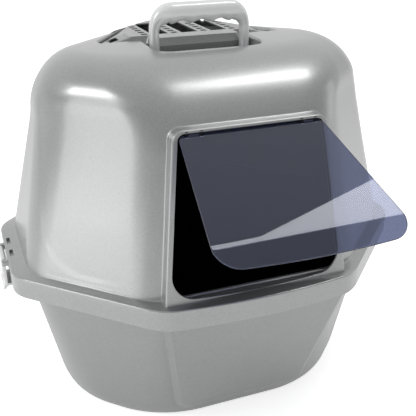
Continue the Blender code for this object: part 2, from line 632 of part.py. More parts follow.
# ---------------------------------------------------------------- latches
def build_latch(side, finish, pin_finish):
    """A clip that hangs from a pin on the skirt and hooks in under the pan's catch rib."""
    name = "latch_right" if side > 0 else "latch_left"
    half = LATCH_WIDTH / 2 - 0.0004
    axis = (side * LATCH_AXIS_X, LATCH_Y, LATCH_AXIS_Z)
    hook_tip = LATCH_AXIS_X - 0.0161
    back, front, foot = LATCH_AXIS_X - 0.0015, LATCH_AXIS_X + 0.0022, LATCH_FOOT
    profile = [(back, LATCH_AXIS_Z), (back, foot + 0.0055), (hook_tip, foot + 0.0055),
               (hook_tip, foot + 0.0030), (back + 0.0005, foot + 0.0015), (front + 0.0008, foot - 0.0035),
               (front + 0.0030, foot - 0.0020), (front, foot + 0.0065), (front, LATCH_AXIS_Z)]
    rings = [[(side * x - axis[0], y, z - axis[2]) for x, z in profile] for y in (-half, half)]
    latch = add_object(name, loft(rings, name), parts, finish)
    boolean(latch, rod("barrel", (0, -half, 0), (0, half, 0), BARREL_RADIUS), "UNION")
    for i in range(LATCH_RIBS):
        z = LATCH_RIB_TOP - LATCH_RIB_PITCH * i
        low, high = sorted((side * 0.0018, side * 0.0030))
        boolean(latch, block("rib", (low, -half + 0.003, z - 0.0009), (high, half - 0.003, z + 0.0009)),
                "UNION")
    reach = half + 0.010
    boolean(latch, rod("bore", (0, -reach, 0), (0, reach, 0), PIN_RADIUS + PIN_GAP), "DIFFERENCE")
    latch.location = axis
    pin_name = name.replace("latch", "latch_pin")
    reach = LATCH_WIDTH / 2 + 0.0062
    pin = add_object(pin_name, rod(pin_name, (0, -reach, 0), (0, reach, 0), PIN_RADIUS),
                     parts, pin_finish)
    pin.location = axis
    return latch


# ---------------------------------------------------------------- assembly
silver_pan = material("silver_plastic_pan", SILVER, 0.32, 0.55)
silver_hood = material("silver_plastic_hood", SILVER, 0.30, 0.55)
smoke_door = material("smoke_clear_plastic", SMOKE, 0.12, alpha=0.6)
pale_handle = material("pale_silver_plastic", PALE, 0.30, 0.3)
silver_cover = material("silver_plastic_cover", SILVER, 0.35, 0.5)
carbon_pad = material("carbon_filter_felt", CARBON, 0.95)
pale_latch = material("pale_silver_latch", PALE, 0.32, 0.3)
steel_pin = material("steel_pin", (0.6, 0.6, 0.6), 0.35, 1.0)

build_pan(silver_pan)
the_hood = build_hood(silver_hood)
cut_doorway(the_hood)
cut_roof(the_hood)
add_latch_knuckles(the_hood)
build_door(smoke_door, steel_pin)
build_handle(pale_handle)
build_filter(silver_cover, carbon_pad)
for latch_side in (-1, 1):
    build_latch(latch_side, pale_latch, steel_pin)
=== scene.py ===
import math

import bpy
import numpy as np
from mathutils import Matrix, Vector


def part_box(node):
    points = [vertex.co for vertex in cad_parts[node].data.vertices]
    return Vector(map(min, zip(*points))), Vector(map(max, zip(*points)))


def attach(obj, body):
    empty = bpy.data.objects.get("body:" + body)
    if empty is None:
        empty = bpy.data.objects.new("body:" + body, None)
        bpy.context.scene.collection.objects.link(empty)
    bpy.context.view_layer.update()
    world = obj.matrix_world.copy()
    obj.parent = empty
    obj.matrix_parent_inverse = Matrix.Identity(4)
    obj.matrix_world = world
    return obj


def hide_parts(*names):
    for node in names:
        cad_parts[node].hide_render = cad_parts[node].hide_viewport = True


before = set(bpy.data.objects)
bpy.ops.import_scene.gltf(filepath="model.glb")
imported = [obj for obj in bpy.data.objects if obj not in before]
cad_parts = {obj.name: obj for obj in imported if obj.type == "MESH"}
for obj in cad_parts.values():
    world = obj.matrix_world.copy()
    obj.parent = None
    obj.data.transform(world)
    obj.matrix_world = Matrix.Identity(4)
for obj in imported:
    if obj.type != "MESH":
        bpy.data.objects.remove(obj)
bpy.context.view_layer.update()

bpy.ops.object.select_all(action="DESELECT")
bpy.context.scene.view_settings.view_transform = "Standard"

# everything below is in metres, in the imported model's own frame
litterBox = {
    "width": 0.540,           # across the hood's skirt
    "crease": 0.212,          # height of the skirt's upper edge
    "wall": 0.0025,           # moulded wall
    "backRound": 0.13,        # radius of the two corners at the back
    "bow": 0.0112,            # how far the front of the skirt bows out
    "bowHalf": 0.13,
}
faceOrder = ("front", "chamfer", "side", "rear", "back", "rear", "side", "chamfer")
arcSteps = (14, 24, 10, 14, 14, 10, 24, 14)
flatSteps = {"front": 26, "chamfer": 20, "side": 8, "rear": 6, "back": 6}


# modelling helpers
def makeActive(piece):
    bpy.ops.object.select_all(action="DESELECT")
    piece.select_set(True)
    bpy.context.view_layer.objects.active = piece


def applyModifier(piece, kind, **settings):
    makeActive(piece)
    step = piece.modifiers.new(kind.lower(), kind)
    for key, value in settings.items():
        setattr(step, key, value)
    bpy.ops.object.modifier_apply(modifier=step.name)


def combine(piece, tool, operation):
    # joins or cuts a piece with a tool, which is used up
    applyModifier(piece, "BOOLEAN", operation=operation, solver="EXACT", object=tool)
    bpy.data.objects.remove(tool, do_unlink=True)


def joinAll(tools):
    makeActive(tools[0])
    for tool in tools:
        tool.select_set(True)
    bpy.ops.object.join()
    return tools[0]


def ringLoft(name, rings, closed=False, innerRows=()):
    # a circle is extruded once for every further ring, then each ring is laid in its place;
    # faces that start in one of the inner rows take the second finish, a near-black painted shade
    if closed:
        rings = rings + rings[:1]
    count = len(rings[0])
    bpy.ops.mesh.primitive_circle_add(vertices=count, radius=1.0, fill_type="NOTHING")
    piece = bpy.context.object
    piece.name = piece.data.name = name
    bpy.ops.object.mode_set(mode="EDIT")
    bpy.ops.mesh.select_all(action="SELECT")
    for _ in rings[1:]:
        bpy.ops.mesh.extrude_edges_move(TRANSFORM_OT_translate={"value": (0, 0, 1)})
    bpy.ops.object.mode_set(mode="OBJECT")
    for face in piece.data.polygons:
        if min(round(piece.data.vertices[i].co.z) for i in face.vertices) in innerRows:
            face.material_index = 1
    for vertex in piece.data.vertices:
        row = round(vertex.co.z)
        column = round(math.atan2(vertex.co.y, vertex.co.x) / math.tau * count) % count
        vertex.co = rings[row][column]
    bpy.ops.object.mode_set(mode="EDIT")
    bpy.ops.mesh.select_all(action="SELECT")
    bpy.ops.mesh.remove_doubles(threshold=0.000002)
    if not closed:
        bpy.ops.mesh.fill_holes(sides=0)
    bpy.ops.mesh.select_all(action="SELECT")
    bpy.ops.mesh.normals_make_consistent(inside=False)
    bpy.ops.object.mode_set(mode="OBJECT")
    return piece


def boxAt(name, low, high, bevel=0.0, segments=2):
    low, high = Vector(low), Vector(high)
    bpy.ops.mesh.primitive_cube_add(size=1.0, location=(low + high) / 2)
    piece = bpy.context.object
    piece.name = piece.data.name = name
    piece.scale = high - low
    bpy.ops.object.transform_apply(location=True, rotation=True, scale=True)
    if bevel:
        bpy.ops.object.mode_set(mode="EDIT")
        bpy.ops.mesh.select_all(action="SELECT")
        bpy.ops.mesh.bevel(offset=bevel, segments=segments, affect="EDGES")
        bpy.ops.object.mode_set(mode="OBJECT")
    return piece


def rodBetween(name, start, end, radius, sides=32, bevel=0.0):
    start, end = Vector(start), Vector(end)
    bpy.ops.mesh.primitive_cylinder_add(vertices=sides, radius=radius, depth=(end - start).length,
                                        location=(start + end) / 2,
                                        rotation=(end - start).to_track_quat("Z", "Y").to_euler())
    piece = bpy.context.object
    piece.name = piece.data.name = name
    bpy.ops.object.transform_apply(location=True, rotation=True, scale=True)
    if bevel:
        applyModifier(piece, "BEVEL", width=bevel, segments=2, limit_method="ANGLE")
    return piece


def finishPiece(piece, body, material, nodes=(), sharpAngle=32):
    # shades the piece, gives it its finish, and ties it to its body
    makeActive(piece)
    bpy.ops.object.shade_smooth_by_angle(angle=math.radians(sharpAngle))
    if material is not None and not piece.data.materials:
        piece.data.materials.append(material)
    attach(piece, body)
    if nodes:
        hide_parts(*nodes)
    return piece


# the eight-sided plan that pan, skirt and dome share
def planRing(distance, cornerRound, bow=0.0):
    corners = []
    for i in range(8):
        angle = math.radians(-90 + 45 * i)
        near, far = distance[faceOrder[i]], distance[faceOrder[(i + 1) % 8]]
        along = (far - near * math.cos(math.pi / 4)) / math.sin(math.pi / 4)
        corners.append(Vector((near * math.cos(angle) - along * math.sin(angle),
                               near * math.sin(angle) + along * math.cos(angle))))
    arcs = []
    for i, corner in enumerate(corners):
        wanted = litterBox["backRound"] if i in (3, 4) else cornerRound
        before = (corner - corners[i - 1]).length
        after = (corner - corners[(i + 1) % 8]).length
        reach = min(wanted * math.tan(math.pi / 8), 0.46 * before, 0.46 * after)
        radius = reach / math.tan(math.pi / 8)
        angle = math.radians(-90 + 45 * i)
        outward, sideways = Vector((math.cos(angle), math.sin(angle))), Vector((-math.sin(angle), math.cos(angle)))
        centre = corner - radius * outward - reach * sideways
        turns = [angle + math.radians(45) * k / arcSteps[i] for k in range(arcSteps[i] + 1)]
        arcs.append([centre + radius * Vector((math.cos(t), math.sin(t))) for t in turns])
    points = []
    for i, arc in enumerate(arcs):
        points += arc
        nextStart = arcs[(i + 1) % 8][0]
        steps = flatSteps[faceOrder[(i + 1) % 8]]
        points += [arc[-1].lerp(nextStart, k / steps) for k in range(1, steps)]
    half = litterBox["bowHalf"]
    if bow:
        for point in points:
            if point.y < -distance["front"] + 0.02 and abs(point.x) < half:
                point.y -= bow * (1 - (point.x / half) ** 2)
    return points


def shifted(distance, inward):
    return {face: value - inward for face, value in distance.items()}


def between(start, end, share):
    return {face: start[face] + (end[face] - start[face]) * share for face in start}


def smoothStep(low, high, value):
    t = min(1.0, max(0.0, (value - low) / (high - low)))
    return t * t * (3 - 2 * t)


hoodShape = {
    "skirtDrop": 0.0265,
    "roof": 0.469,
    "crown": 0.002,
    "footRise": 0.004,
    "skirt": {"front": 0.2368, "chamfer": 0.2555, "side": 0.270, "rear": 0.2399, "back": 0.285},
    "domeFoot": {"front": 0.2165, "chamfer": 0.2440, "side": 0.2510, "rear": 0.2300, "back": 0.2730},
    "domeHead": {"front": 0.1980, "chamfer": 0.2040, "side": 0.2166, "rear": 0.1720, "back": 0.2060},
    "roofPlan": {"front": 0.0750, "chamfer": 0.1320, "side": 0.1540, "rear": 0.1040, "back": 0.1340},
    "fillet": {"front": 0.100, "chamfer": 0.052, "side": 0.074, "rear": 0.084, "back": 0.084},
    "skirtRound": 0.045,
    "creaseRadius": 0.0018,
    "footRadius": 0.0030,
    "panelStep": 0.0007,      # height of the soft step round each slanting side panel
    "panelBlend": 0.0034,     # width of that step
    "panelEdge": 0.1070,      # the step's distance from the panel's middle, at the height below
    "panelEdgeHeight": 0.385,
    "panelEdgeLean": 0.12,
    "panelFoot": 0.2235,
    "panelRound": 0.056,
}


def domeDistance(z, inward=0.0):
    shape, distance = hoodShape, {}
    foot = litterBox["crease"] + shape["footRise"]
    for face, fillet in shape["fillet"].items():
        start = shape["roof"] - fillet
        if z <= start:
            share = (z - foot) / (start - foot)
            distance[face] = shape["domeFoot"][face] + (shape["domeHead"][face] - shape["domeFoot"][face]) * share
        else:
            rise = min(1.0, (z - start) / fillet)
            reach = shape["domeHead"][face] - shape["roofPlan"][face]
            distance[face] = shape["roofPlan"][face] + reach * math.sqrt(1 - rise ** 2)
    return shifted(distance, inward)


def domeCorner(z):
    foot = litterBox["crease"] + hoodShape["footRise"]
    return 0.070 + 0.035 * (z - foot) / (hoodShape["roof"] - foot)


def panelOffset(x, y, z):
    # how far the slanting side panel lies below the rounded dome at a point
    shape = hoodShape
    if y > 0.05:
        return 0.0
    across = (abs(x) + y) / math.sqrt(2)
    edge = shape["panelEdge"] + (z - shape["panelEdgeHeight"]) * shape["panelEdgeLean"]
    radius = shape["panelRound"]
    overX, overZ = across - (edge - radius), shape["panelFoot"] + radius - z
    if overX > 0 and overZ > 0:
        inside = radius - math.hypot(overX, overZ)
    else:
        inside = min(edge - across, z - shape["panelFoot"])
    depth = shape["panelStep"] * smoothStep(0, shape["panelBlend"], inside)
    return depth * smoothStep(-0.045, 0.030, across) * (1 - smoothStep(0.405, 0.440, z))


def domeRing(z, inward=0.0):
    points = []
    for point in planRing(domeDistance(z, inward), domeCorner(z)):
        sunk = panelOffset(point.x, point.y, z) if inward == 0 else 0.0
        direction = Vector((-math.copysign(1, point.x), 1)).normalized()
        moved = point + direction * sunk
        points.append((moved.x, moved.y, z - inward))
    return points


def domeFront(x, z):
    # how far forward the dome's wall is at a place on its front
    ring = [p for p in planRing(domeDistance(z), domeCorner(z)) if p.y < 0]
    ring.sort(key=lambda p: p.x)
    return float(np.interp(x, [p.x for p in ring], [p.y for p in ring]))


def ledgeRise(x, y):
    # the ledge climbs a little towards the dome, less in front of the doorway
    return 0.0006 + 0.0019 * (smoothStep(0.118, 0.150, abs(x)) if y < 0 else 1.0)


def hoodRings():
    shape, wall, crease = hoodShape, litterBox["wall"], litterBox["crease"]
    foot, skirtFoot = crease + shape["footRise"], crease - shape["skirtDrop"]
    crown = between(shape["roofPlan"], {face: 0.0 for face in shape["roofPlan"]}, 0.5)
    heights = [foot + 0.002 + 0.0029 * k for k in range(24)] + [0.293 + 0.008 * k for k in range(10)]
    topFillet = 0.100
    heights += [shape["roof"] - topFillet * (1 - math.sin(math.radians(90 * k / 22))) for k in range(1, 23)]

    def skirtRing(inward, z):
        return [(p.x, p.y, z) for p in planRing(shifted(shape["skirt"], inward), shape["skirtRound"], litterBox["bow"])]

    # inside: roof, dome, ledge, skirt
    inner = [[(p.x, p.y, shape["roof"] + 0.8 * shape["crown"] - wall) for p in planRing(crown, 0.05)]]
    inner += [domeRing(z, wall) for z in heights[::-2]]
    inner.append([(x, y, crease - wall) for x, y, z in domeRing(foot, wall)])
    inner.append(skirtRing(wall + 0.001, crease - wall))
    inner.append(skirtRing(wall, crease - wall - 0.001))
    inner.append(skirtRing(wall, skirtFoot + 0.0004))
    # outside: skirt, its crease, ledge, foot of the dome, dome, roof
    outer = [skirtRing(wall - 0.0004, skirtFoot), skirtRing(0.0004, skirtFoot), skirtRing(0.0, skirtFoot + 0.0004)]
    outer += [skirtRing(0.0, skirtFoot + shape["skirtDrop"] * k / 4) for k in (1, 2, 3)]
    radius = shape["creaseRadius"]
    for k in range(6):
        turn = math.radians(90 * k / 5)
        outer.append(skirtRing(radius * (1 - math.cos(turn)), crease - radius * (1 - math.sin(turn))))
    edge = outer[-1]
    radius = shape["footRadius"]
    wallFoot = domeRing(foot + 0.001)
    base = []
    for (x, y, z), (u, v, w) in zip(wallFoot, edge):
        outward = Vector((u - x, v - y)).normalized() if (u - x, v - y) != (0, 0) else Vector((0, 0))
        base.append((x, y, outward, crease + ledgeRise(x, y)))
    fillet = []
    for k in range(6):
        turn = math.radians(90 * k / 5)
        out, up = radius * (1 - math.sin(turn)), radius * (1 - math.cos(turn))
        fillet.append([(x + o.x * out, y + o.y * out, level + up) for x, y, o, level in base])
    for share in (0.33, 0.66):
        outer.append([tuple(Vector(a).lerp(Vector(b), share)) for a, b in zip(edge, fillet[0])])
    outer += fillet
    outer += [domeRing(z) for z in heights]
    outer.append([(p.x, p.y, shape["roof"] + 0.45 * shape["crown"])
                  for p in planRing(between(shape["roofPlan"], crown, 0.5), 0.06)])
    outer.append([(p.x, p.y, shape["roof"] + 0.8 * shape["crown"]) for p in planRing(crown, 0.05)])
    # the inner rows take the near-black painted shade, standing in for the shadow inside the hood
    return inner + outer, range(len(inner))


# the doorway lies in a plane that leans back
doorway = {
    "planeY": -0.2297,
    "lean": 0.1450,
    "hingeRise": 0.1892,      # hinge axis above the crease
    "hingeDepth": 0.0030,
    "headGap": 0.0030,
    "halfWidth": 0.1100,      # at the crease
    "taper": 0.1177,
    "foot": 0.0065,
    "sag": 0.0060,
    "footRound": 0.026,
    "headRound": 0.0085,
    "margin": 0.0065,         # opening to the porch's outer wall
    "porchHead": 0.0035,
    "nose": 0.0029,           # radius of the porch's rounded front edge
    "join": 0.0022,           # radius where the porch meets the dome
    "bite": 0.0002,           # how deep that join starts below the dome's surface
    "lip": 0.0006,
}


def onDoorPlane(x, z, stand=0.0):
    return Vector((x, doorway["planeY"] + doorway["lean"] * z - stand, litterBox["crease"] + z))


def roundedOutline(corners, arc=10, flats=(12, 12, 12, 12)):
    # a polygon with rounded corners; each side between two corners gets its own number of points
    points, count = [], len(corners)
    arcsOut = []
    for i, (x, y, radius) in enumerate(corners):
        here = Vector((x, y))
        before = (Vector(corners[i - 1][:2]) - here).normalized()
        after = (Vector(corners[(i + 1) % count][:2]) - here).normalized()
        half = before.angle(after) / 2
        centre = here + (before + after).normalized() * (radius / math.sin(half))
        first = here + before * radius / math.tan(half) - centre
        last = here + after * radius / math.tan(half) - centre
        start = math.atan2(first.y, first.x)
        sweep = math.atan2(first.cross(last), first.dot(last))
        turns = [start + sweep * k / arc for k in range(arc + 1)]
        arcsOut.append([centre + radius * Vector((math.cos(t), math.sin(t))) for t in turns])
    for i, piece in enumerate(arcsOut):
        points += piece
        following = arcsOut[(i + 1) % count][0]
        points += [piece[-1].lerp(following, k / flats[i % len(flats)]) for k in range(1, flats[i % len(flats)])]
    return points


def doorOutline(margin, foot, head, footRound, headRound, sag=0.0):
    low = doorway["halfWidth"] - doorway["taper"] * foot + margin
    high = doorway["halfWidth"] - doorway["taper"] * head + margin
    points = roundedOutline([(-high, head, headRound), (-low, foot, footRound),
                             (low, foot, footRound), (high, head, headRound)], arc=12, flats=(16, 24, 16, 20))
    middle = (foot + head) / 2
    return [(p.x, p.y - sag * (1 - (p.x / low) ** 2) if p.y < middle else p.y) for p in points]


def porchOutline(inset):
    head = doorway["hingeRise"] + doorway["headGap"] + doorway["porchHead"]
    return doorOutline(doorway["margin"] - inset, -0.0020, head - inset, 0.0015, 0.0145 - inset)


def openingOutline(grow=0.0):
    head = doorway["hingeRise"] + doorway["headGap"]
    return doorOutline(grow, doorway["foot"] - grow, head + grow, doorway["footRound"] + grow,
                       doorway["headRound"] + grow, doorway["sag"])


def domeStand(x, z):
    # the dome's wall behind the doorway's plane, seen straight from the front
    return doorway["planeY"] + doorway["lean"] * z - domeFront(x, litterBox["crease"] + max(z, 0.0042))


def porchFrame():
    # one closed rim: a soft join to the dome, the side wall, the rounded nose, the face, the jamb and the back
    wall, nose, join, lip = litterBox["wall"], doorway["nose"], doorway["join"], doorway["lip"]

    def onDome(inset, forward):
        return [onDoorPlane(x, z, domeStand(x, z) + forward) for x, z in porchOutline(inset)]

    rings = [onDome(-join - 0.0006, -0.0006)]
    for k in range(6):
        turn = math.radians(90 * k / 5)
        rings.append(onDome(-join * (1 - math.sin(turn)), join * (1 - math.cos(turn)) - doorway["bite"]))
    for k in range(8):
        turn = math.radians(90 * k / 7)
        rings.append([onDoorPlane(x, z, -nose * (1 - math.sin(turn)))
                      for x, z in porchOutline(nose * (1 - math.cos(turn)))])
    rings.append([onDoorPlane(x, z) for x, z in openingOutline(lip)])
    for k in (1, 2, 3):
        turn = math.radians(90 * k / 3)
        rings.append([onDoorPlane(x, z, -lip * (1 - math.cos(turn)))
                      for x, z in openingOutline(lip * (1 - math.sin(turn)))])
    rings.append([onDoorPlane(x, z, -wall) for x, z in openingOutline()])
    rings.append([onDoorPlane(x, z, -wall) for x, z in porchOutline(wall)])
    rings.append(onDome(wall, -0.0010))
    # the jamb and back rows take the near-black painted shade of the doorway's inside
    return ringLoft("porch", rings, closed=True, innerRows=range(len(rings) - 3, len(rings)))


def slab(name, outline, stands):
    return ringLoft(name, [[onDoorPlane(x, z, stand) for x, z in outline] for stand in stands])



# finishes
def makeFlakeGroup():
    # fine metal flake and the faint orange peel of a moulded pearl plastic
    group = bpy.data.node_groups.new("metalFlake", "ShaderNodeTree")
    socket = group.interface.new_socket
    for name, value in (("Flake Scale", 1500.0), ("Flake Strength", 0.2), ("Peel Height", 0.0001)):
        socket(name, in_out="INPUT", socket_type="NodeSocketFloat").default_value = value
    socket("Shade", in_out="OUTPUT", socket_type="NodeSocketFloat")
    socket("Rough Shift", in_out="OUTPUT", socket_type="NodeSocketFloat")
    socket("Normal", in_out="OUTPUT", socket_type="NodeSocketVector")
    nodes, links = group.nodes, group.links
    given, out = nodes.new("NodeGroupInput"), nodes.new("NodeGroupOutput")
    place = nodes.new("ShaderNodeTexCoord")
    flake = nodes.new("ShaderNodeTexVoronoi")
    links.new(place.outputs["Object"], flake.inputs["Vector"])
    links.new(given.outputs["Flake Scale"], flake.inputs["Scale"])
    cell = nodes.new("ShaderNodeSeparateColor")
    links.new(flake.outputs["Color"], cell.inputs["Color"])
    centred = nodes.new("ShaderNodeMath")
    centred.operation = "SUBTRACT"
    centred.inputs[1].default_value = 0.5
    links.new(cell.outputs["Red"], centred.inputs[0])
    cloud = nodes.new("ShaderNodeTexNoise")
    cloud.inputs["Scale"].default_value = 26.0
    cloud.inputs["Detail"].default_value = 3.0
    links.new(place.outputs["Object"], cloud.inputs["Vector"])
    drift = nodes.new("ShaderNodeMath")
    drift.operation = "MULTIPLY_ADD"
    drift.inputs[1].default_value = 0.06
    drift.inputs[2].default_value = 0.97
    links.new(cloud.outputs["Fac"], drift.inputs[0])
    flaked, shade, rough = (nodes.new("ShaderNodeMath") for _ in range(3))
    flaked.operation = rough.operation = "MULTIPLY"
    links.new(centred.outputs[0], flaked.inputs[0])
    links.new(given.outputs["Flake Strength"], flaked.inputs[1])
    links.new(flaked.outputs[0], shade.inputs[0])
    links.new(drift.outputs[0], shade.inputs[1])
    links.new(shade.outputs[0], out.inputs["Shade"])
    rough.inputs[1].default_value = 0.35
    links.new(flaked.outputs[0], rough.inputs[0])
    links.new(rough.outputs[0], out.inputs["Rough Shift"])
    peel = nodes.new("ShaderNodeTexNoise")
    peel.inputs["Scale"].default_value = 420.0
    links.new(place.outputs["Object"], peel.inputs["Vector"])
    bump = nodes.new("ShaderNodeBump")
    bump.inputs["Strength"].default_value = 0.35
    links.new(peel.outputs["Fac"], bump.inputs["Height"])
    links.new(given.outputs["Peel Height"], bump.inputs["Distance"])
    links.new(bump.outputs["Normal"], out.inputs["Normal"])
    return group


flakeGroup = makeFlakeGroup()


def pearlPlastic(name, colour, metallic, roughness, flake=0.22, coat=0.6, coatRoughness=0.14):
    material = bpy.data.materials.new(name)
    material.use_nodes = True
    nodes, links = material.node_tree.nodes, material.node_tree.links
    shader = nodes["Principled BSDF"]
    grain = nodes.new("ShaderNodeGroup")
    grain.node_tree = flakeGroup
    grain.inputs["Flake Strength"].default_value = flake
    tint = nodes.new("ShaderNodeMix")
    tint.data_type = "RGBA"
    tint.blend_type = "MULTIPLY"
    tint.inputs["Factor"].default_value = 1.0
    tint.inputs["A"].default_value = (*colour, 1.0)
    links.new(grain.outputs["Shade"], tint.inputs["B"])
    links.new(tint.outputs["Result"], shader.inputs["Base Color"])
    rough = nodes.new("ShaderNodeMath")
    rough.operation = "ADD"
    rough.inputs[1].default_value = roughness
    links.new(grain.outputs["Rough Shift"], rough.inputs[0])
    links.new(rough.outputs[0], shader.inputs["Roughness"])
    links.new(grain.outputs["Normal"], shader.inputs["Normal"])
    shader.inputs["Metallic"].default_value = metallic
    shader.inputs["Coat Weight"].default_value = coat
    shader.inputs["Coat Roughness"].default_value = coatRoughness
    return material


def paintedShadeInside(name, colour):
    # the inner faces of the mouldings: the same plastic made near-black, dull and unlit, as painted shade standing in
    # for the shadow inside the hood and pan
    material = pearlPlastic(name, colour, 0.0, 0.62, flake=0.3, coat=0.0)
    material.node_tree.nodes["Principled BSDF"].inputs["Specular IOR Level"].default_value = 0.15
    return material


def smokeClear(name, colour):
    material = bpy.data.materials.new(name)
    material.use_nodes = True
    nodes, links = material.node_tree.nodes, material.node_tree.links
    shader = nodes["Principled BSDF"]
    place = nodes.new("ShaderNodeTexCoord")
    cloud = nodes.new("ShaderNodeTexNoise")
    cloud.inputs["Scale"].default_value = 9.0
    links.new(place.outputs["Object"], cloud.inputs["Vector"])
    ramp = nodes.new("ShaderNodeMix")
    ramp.data_type = "RGBA"
    ramp.inputs["A"].default_value = (*colour, 1.0)
    ramp.inputs["B"].default_value = (*[c * 1.10 for c in colour], 1.0)
    links.new(cloud.outputs["Fac"], ramp.inputs["Factor"])
    links.new(ramp.outputs["Result"], shader.inputs["Base Color"])
    haze = nodes.new("ShaderNodeMath")
    haze.operation = "MULTIPLY"
    haze.inputs[1].default_value = 0.03
    links.new(cloud.outputs["Fac"], haze.inputs[0])
    links.new(haze.outputs[0], shader.inputs["Roughness"])
    shader.inputs["Transmission Weight"].default_value = 0.88
    shader.inputs["Specular IOR Level"].default_value = 0.22
    shader.inputs["IOR"].default_value = 1.49
    return material


def brushedSteel(name):
    material = bpy.data.materials.new(name)
    material.use_nodes = True
    nodes, links = material.node_tree.nodes, material.node_tree.links
    shader = nodes["Principled BSDF"]
    place, stretch = nodes.new("ShaderNodeTexCoord"), nodes.new("ShaderNodeMapping")
    stretch.inputs["Scale"].default_value = (40.0, 2500.0, 2500.0)
    links.new(place.outputs["Object"], stretch.inputs["Vector"])
    lines = nodes.new("ShaderNodeTexNoise")
    lines.inputs["Scale"].default_value = 1.0
    links.new(stretch.outputs["Vector"], lines.inputs["Vector"])
    rough = nodes.new("ShaderNodeMapRange")
    rough.inputs["To Min"].default_value = 0.22
    rough.inputs["To Max"].default_value = 0.42
    links.new(lines.outputs["Fac"], rough.inputs["Value"])
    links.new(rough.outputs["Result"], shader.inputs["Roughness"])
    tone = nodes.new("ShaderNodeMix")
    tone.data_type = "RGBA"
    tone.inputs["A"].default_value = (0.50, 0.50, 0.51, 1.0)
    tone.inputs["B"].default_value = (0.68, 0.68, 0.69, 1.0)
    links.new(lines.outputs["Fac"], tone.inputs["Factor"])
    links.new(tone.outputs["Result"], shader.inputs["Base Color"])
    shader.inputs["Metallic"].default_value = 1.0
    return material


def carbonFelt(name):
    material = bpy.data.materials.new(name)
    material.use_nodes = True
    nodes, links = material.node_tree.nodes, material.node_tree.links
    shader = nodes["Principled BSDF"]
    place = nodes.new("ShaderNodeTexCoord")
    fibres = nodes.new("ShaderNodeTexNoise")
    fibres.inputs["Scale"].default_value = 900.0
    fibres.inputs["Detail"].default_value = 5.0
    fibres.inputs["Distortion"].default_value = 1.5
    links.new(place.outputs["Object"], fibres.inputs["Vector"])
    tone = nodes.new("ShaderNodeMix")
    tone.data_type = "RGBA"
    tone.inputs["A"].default_value = (0.008, 0.008, 0.009, 1.0)
    tone.inputs["B"].default_value = (0.050, 0.050, 0.052, 1.0)
    links.new(fibres.outputs["Fac"], tone.inputs["Factor"])
    links.new(tone.outputs["Result"], shader.inputs["Base Color"])
    bump = nodes.new("ShaderNodeBump")
    bump.inputs["Distance"].default_value = 0.0006
    links.new(fibres.outputs["Fac"], bump.inputs["Height"])
    links.new(bump.outputs["Normal"], shader.inputs["Normal"])
    shader.inputs["Roughness"].default_value = 0.95
    shader.inputs["Sheen Weight"].default_value = 0.25
    return material


finishes = {
    "hood": pearlPlastic("hoodSilver", (0.40, 0.405, 0.405), 0.75, 0.33),
    "pan": pearlPlastic("panSilver", (0.38, 0.385, 0.385), 0.70, 0.38, coat=0.45),
    "cover": pearlPlastic("coverSilver", (0.36, 0.365, 0.365), 0.70, 0.38, coat=0.4),
    "handle": pearlPlastic("handlePale", (0.86, 0.865, 0.87), 0.20, 0.30, flake=0.06),
    "latch": pearlPlastic("latchPale", (0.82, 0.825, 0.83), 0.25, 0.34, flake=0.06),
    # near-black painted shade for inner faces, in place of the shadow inside hood and pan
    "inside": paintedShadeInside("insidePaintedShade", (0.010, 0.010, 0.011)),
    "smoke": smokeClear("smokeFlap", (0.18, 0.21, 0.35)),
    "steel": brushedSteel("pinSteel"),
    "felt": carbonFelt("filterFelt"),
}
print("stage: finishes ready")


# hood: skirt, ledge, dome and porch in one moulding
roofPocket = {
    "floor": 0.456,
    "rim": 0.0030,            # rounded rim of the pocket
    "centreY": 0.038,         # the point the outline shrinks towards
    "floorScale": 0.965,
    "rimScale": 0.985,
    "corners": [(0.0715, -0.0850, 0.022), (0.0715, -0.0080, 0.006), (0.1225, -0.0080, 0.008),
                (0.1225, 0.0150, 0.014), (0.0790, 0.0890, 0.030), (0.0300, 0.1385, 0.020)],
    "slotX": [-0.060, -0.030, 0.0, 0.030, 0.060],
}
handleShape = {
    "legX": 0.0605,
    "y": -0.0350,
    "top": 0.5185,
    "bend": 0.022,
}
latchShape = {
    "y": -0.0080,
    "axisX": 0.2750,
    "axisZ": 0.2030,
    "width": 0.0420,
    "foot": 0.1640,
    "slotX": 0.2640,
    "slotY": 0.0190,
    "slotHalf": (0.0023, 0.0094),
}
pinShape = {"radius": 0.0012, "gap": 0.0002, "lugX": 0.0690, "lugWidth": 0.0120, "earWidth": 0.0045}


def hingeAxis():
    return onDoorPlane(0.0, doorway["hingeRise"], -doorway["hingeDepth"])


def mirrored(rightHalf, scale=1.0):
    # a whole outline from the corners of its right half, listed front to back
    corners = [(-x, y, r) for x, y, r in rightHalf[:1]] + rightHalf + [(-x, y, r) for x, y, r in rightHalf[:0:-1]]
    centre = roofPocket["centreY"]
    return [(p.x * scale, centre + (p.y - centre) * scale) for p in roundedOutline(corners, arc=7, flats=(10,) * 12)]


def pocketOutline(scale):
    return mirrored(roofPocket["corners"], scale)


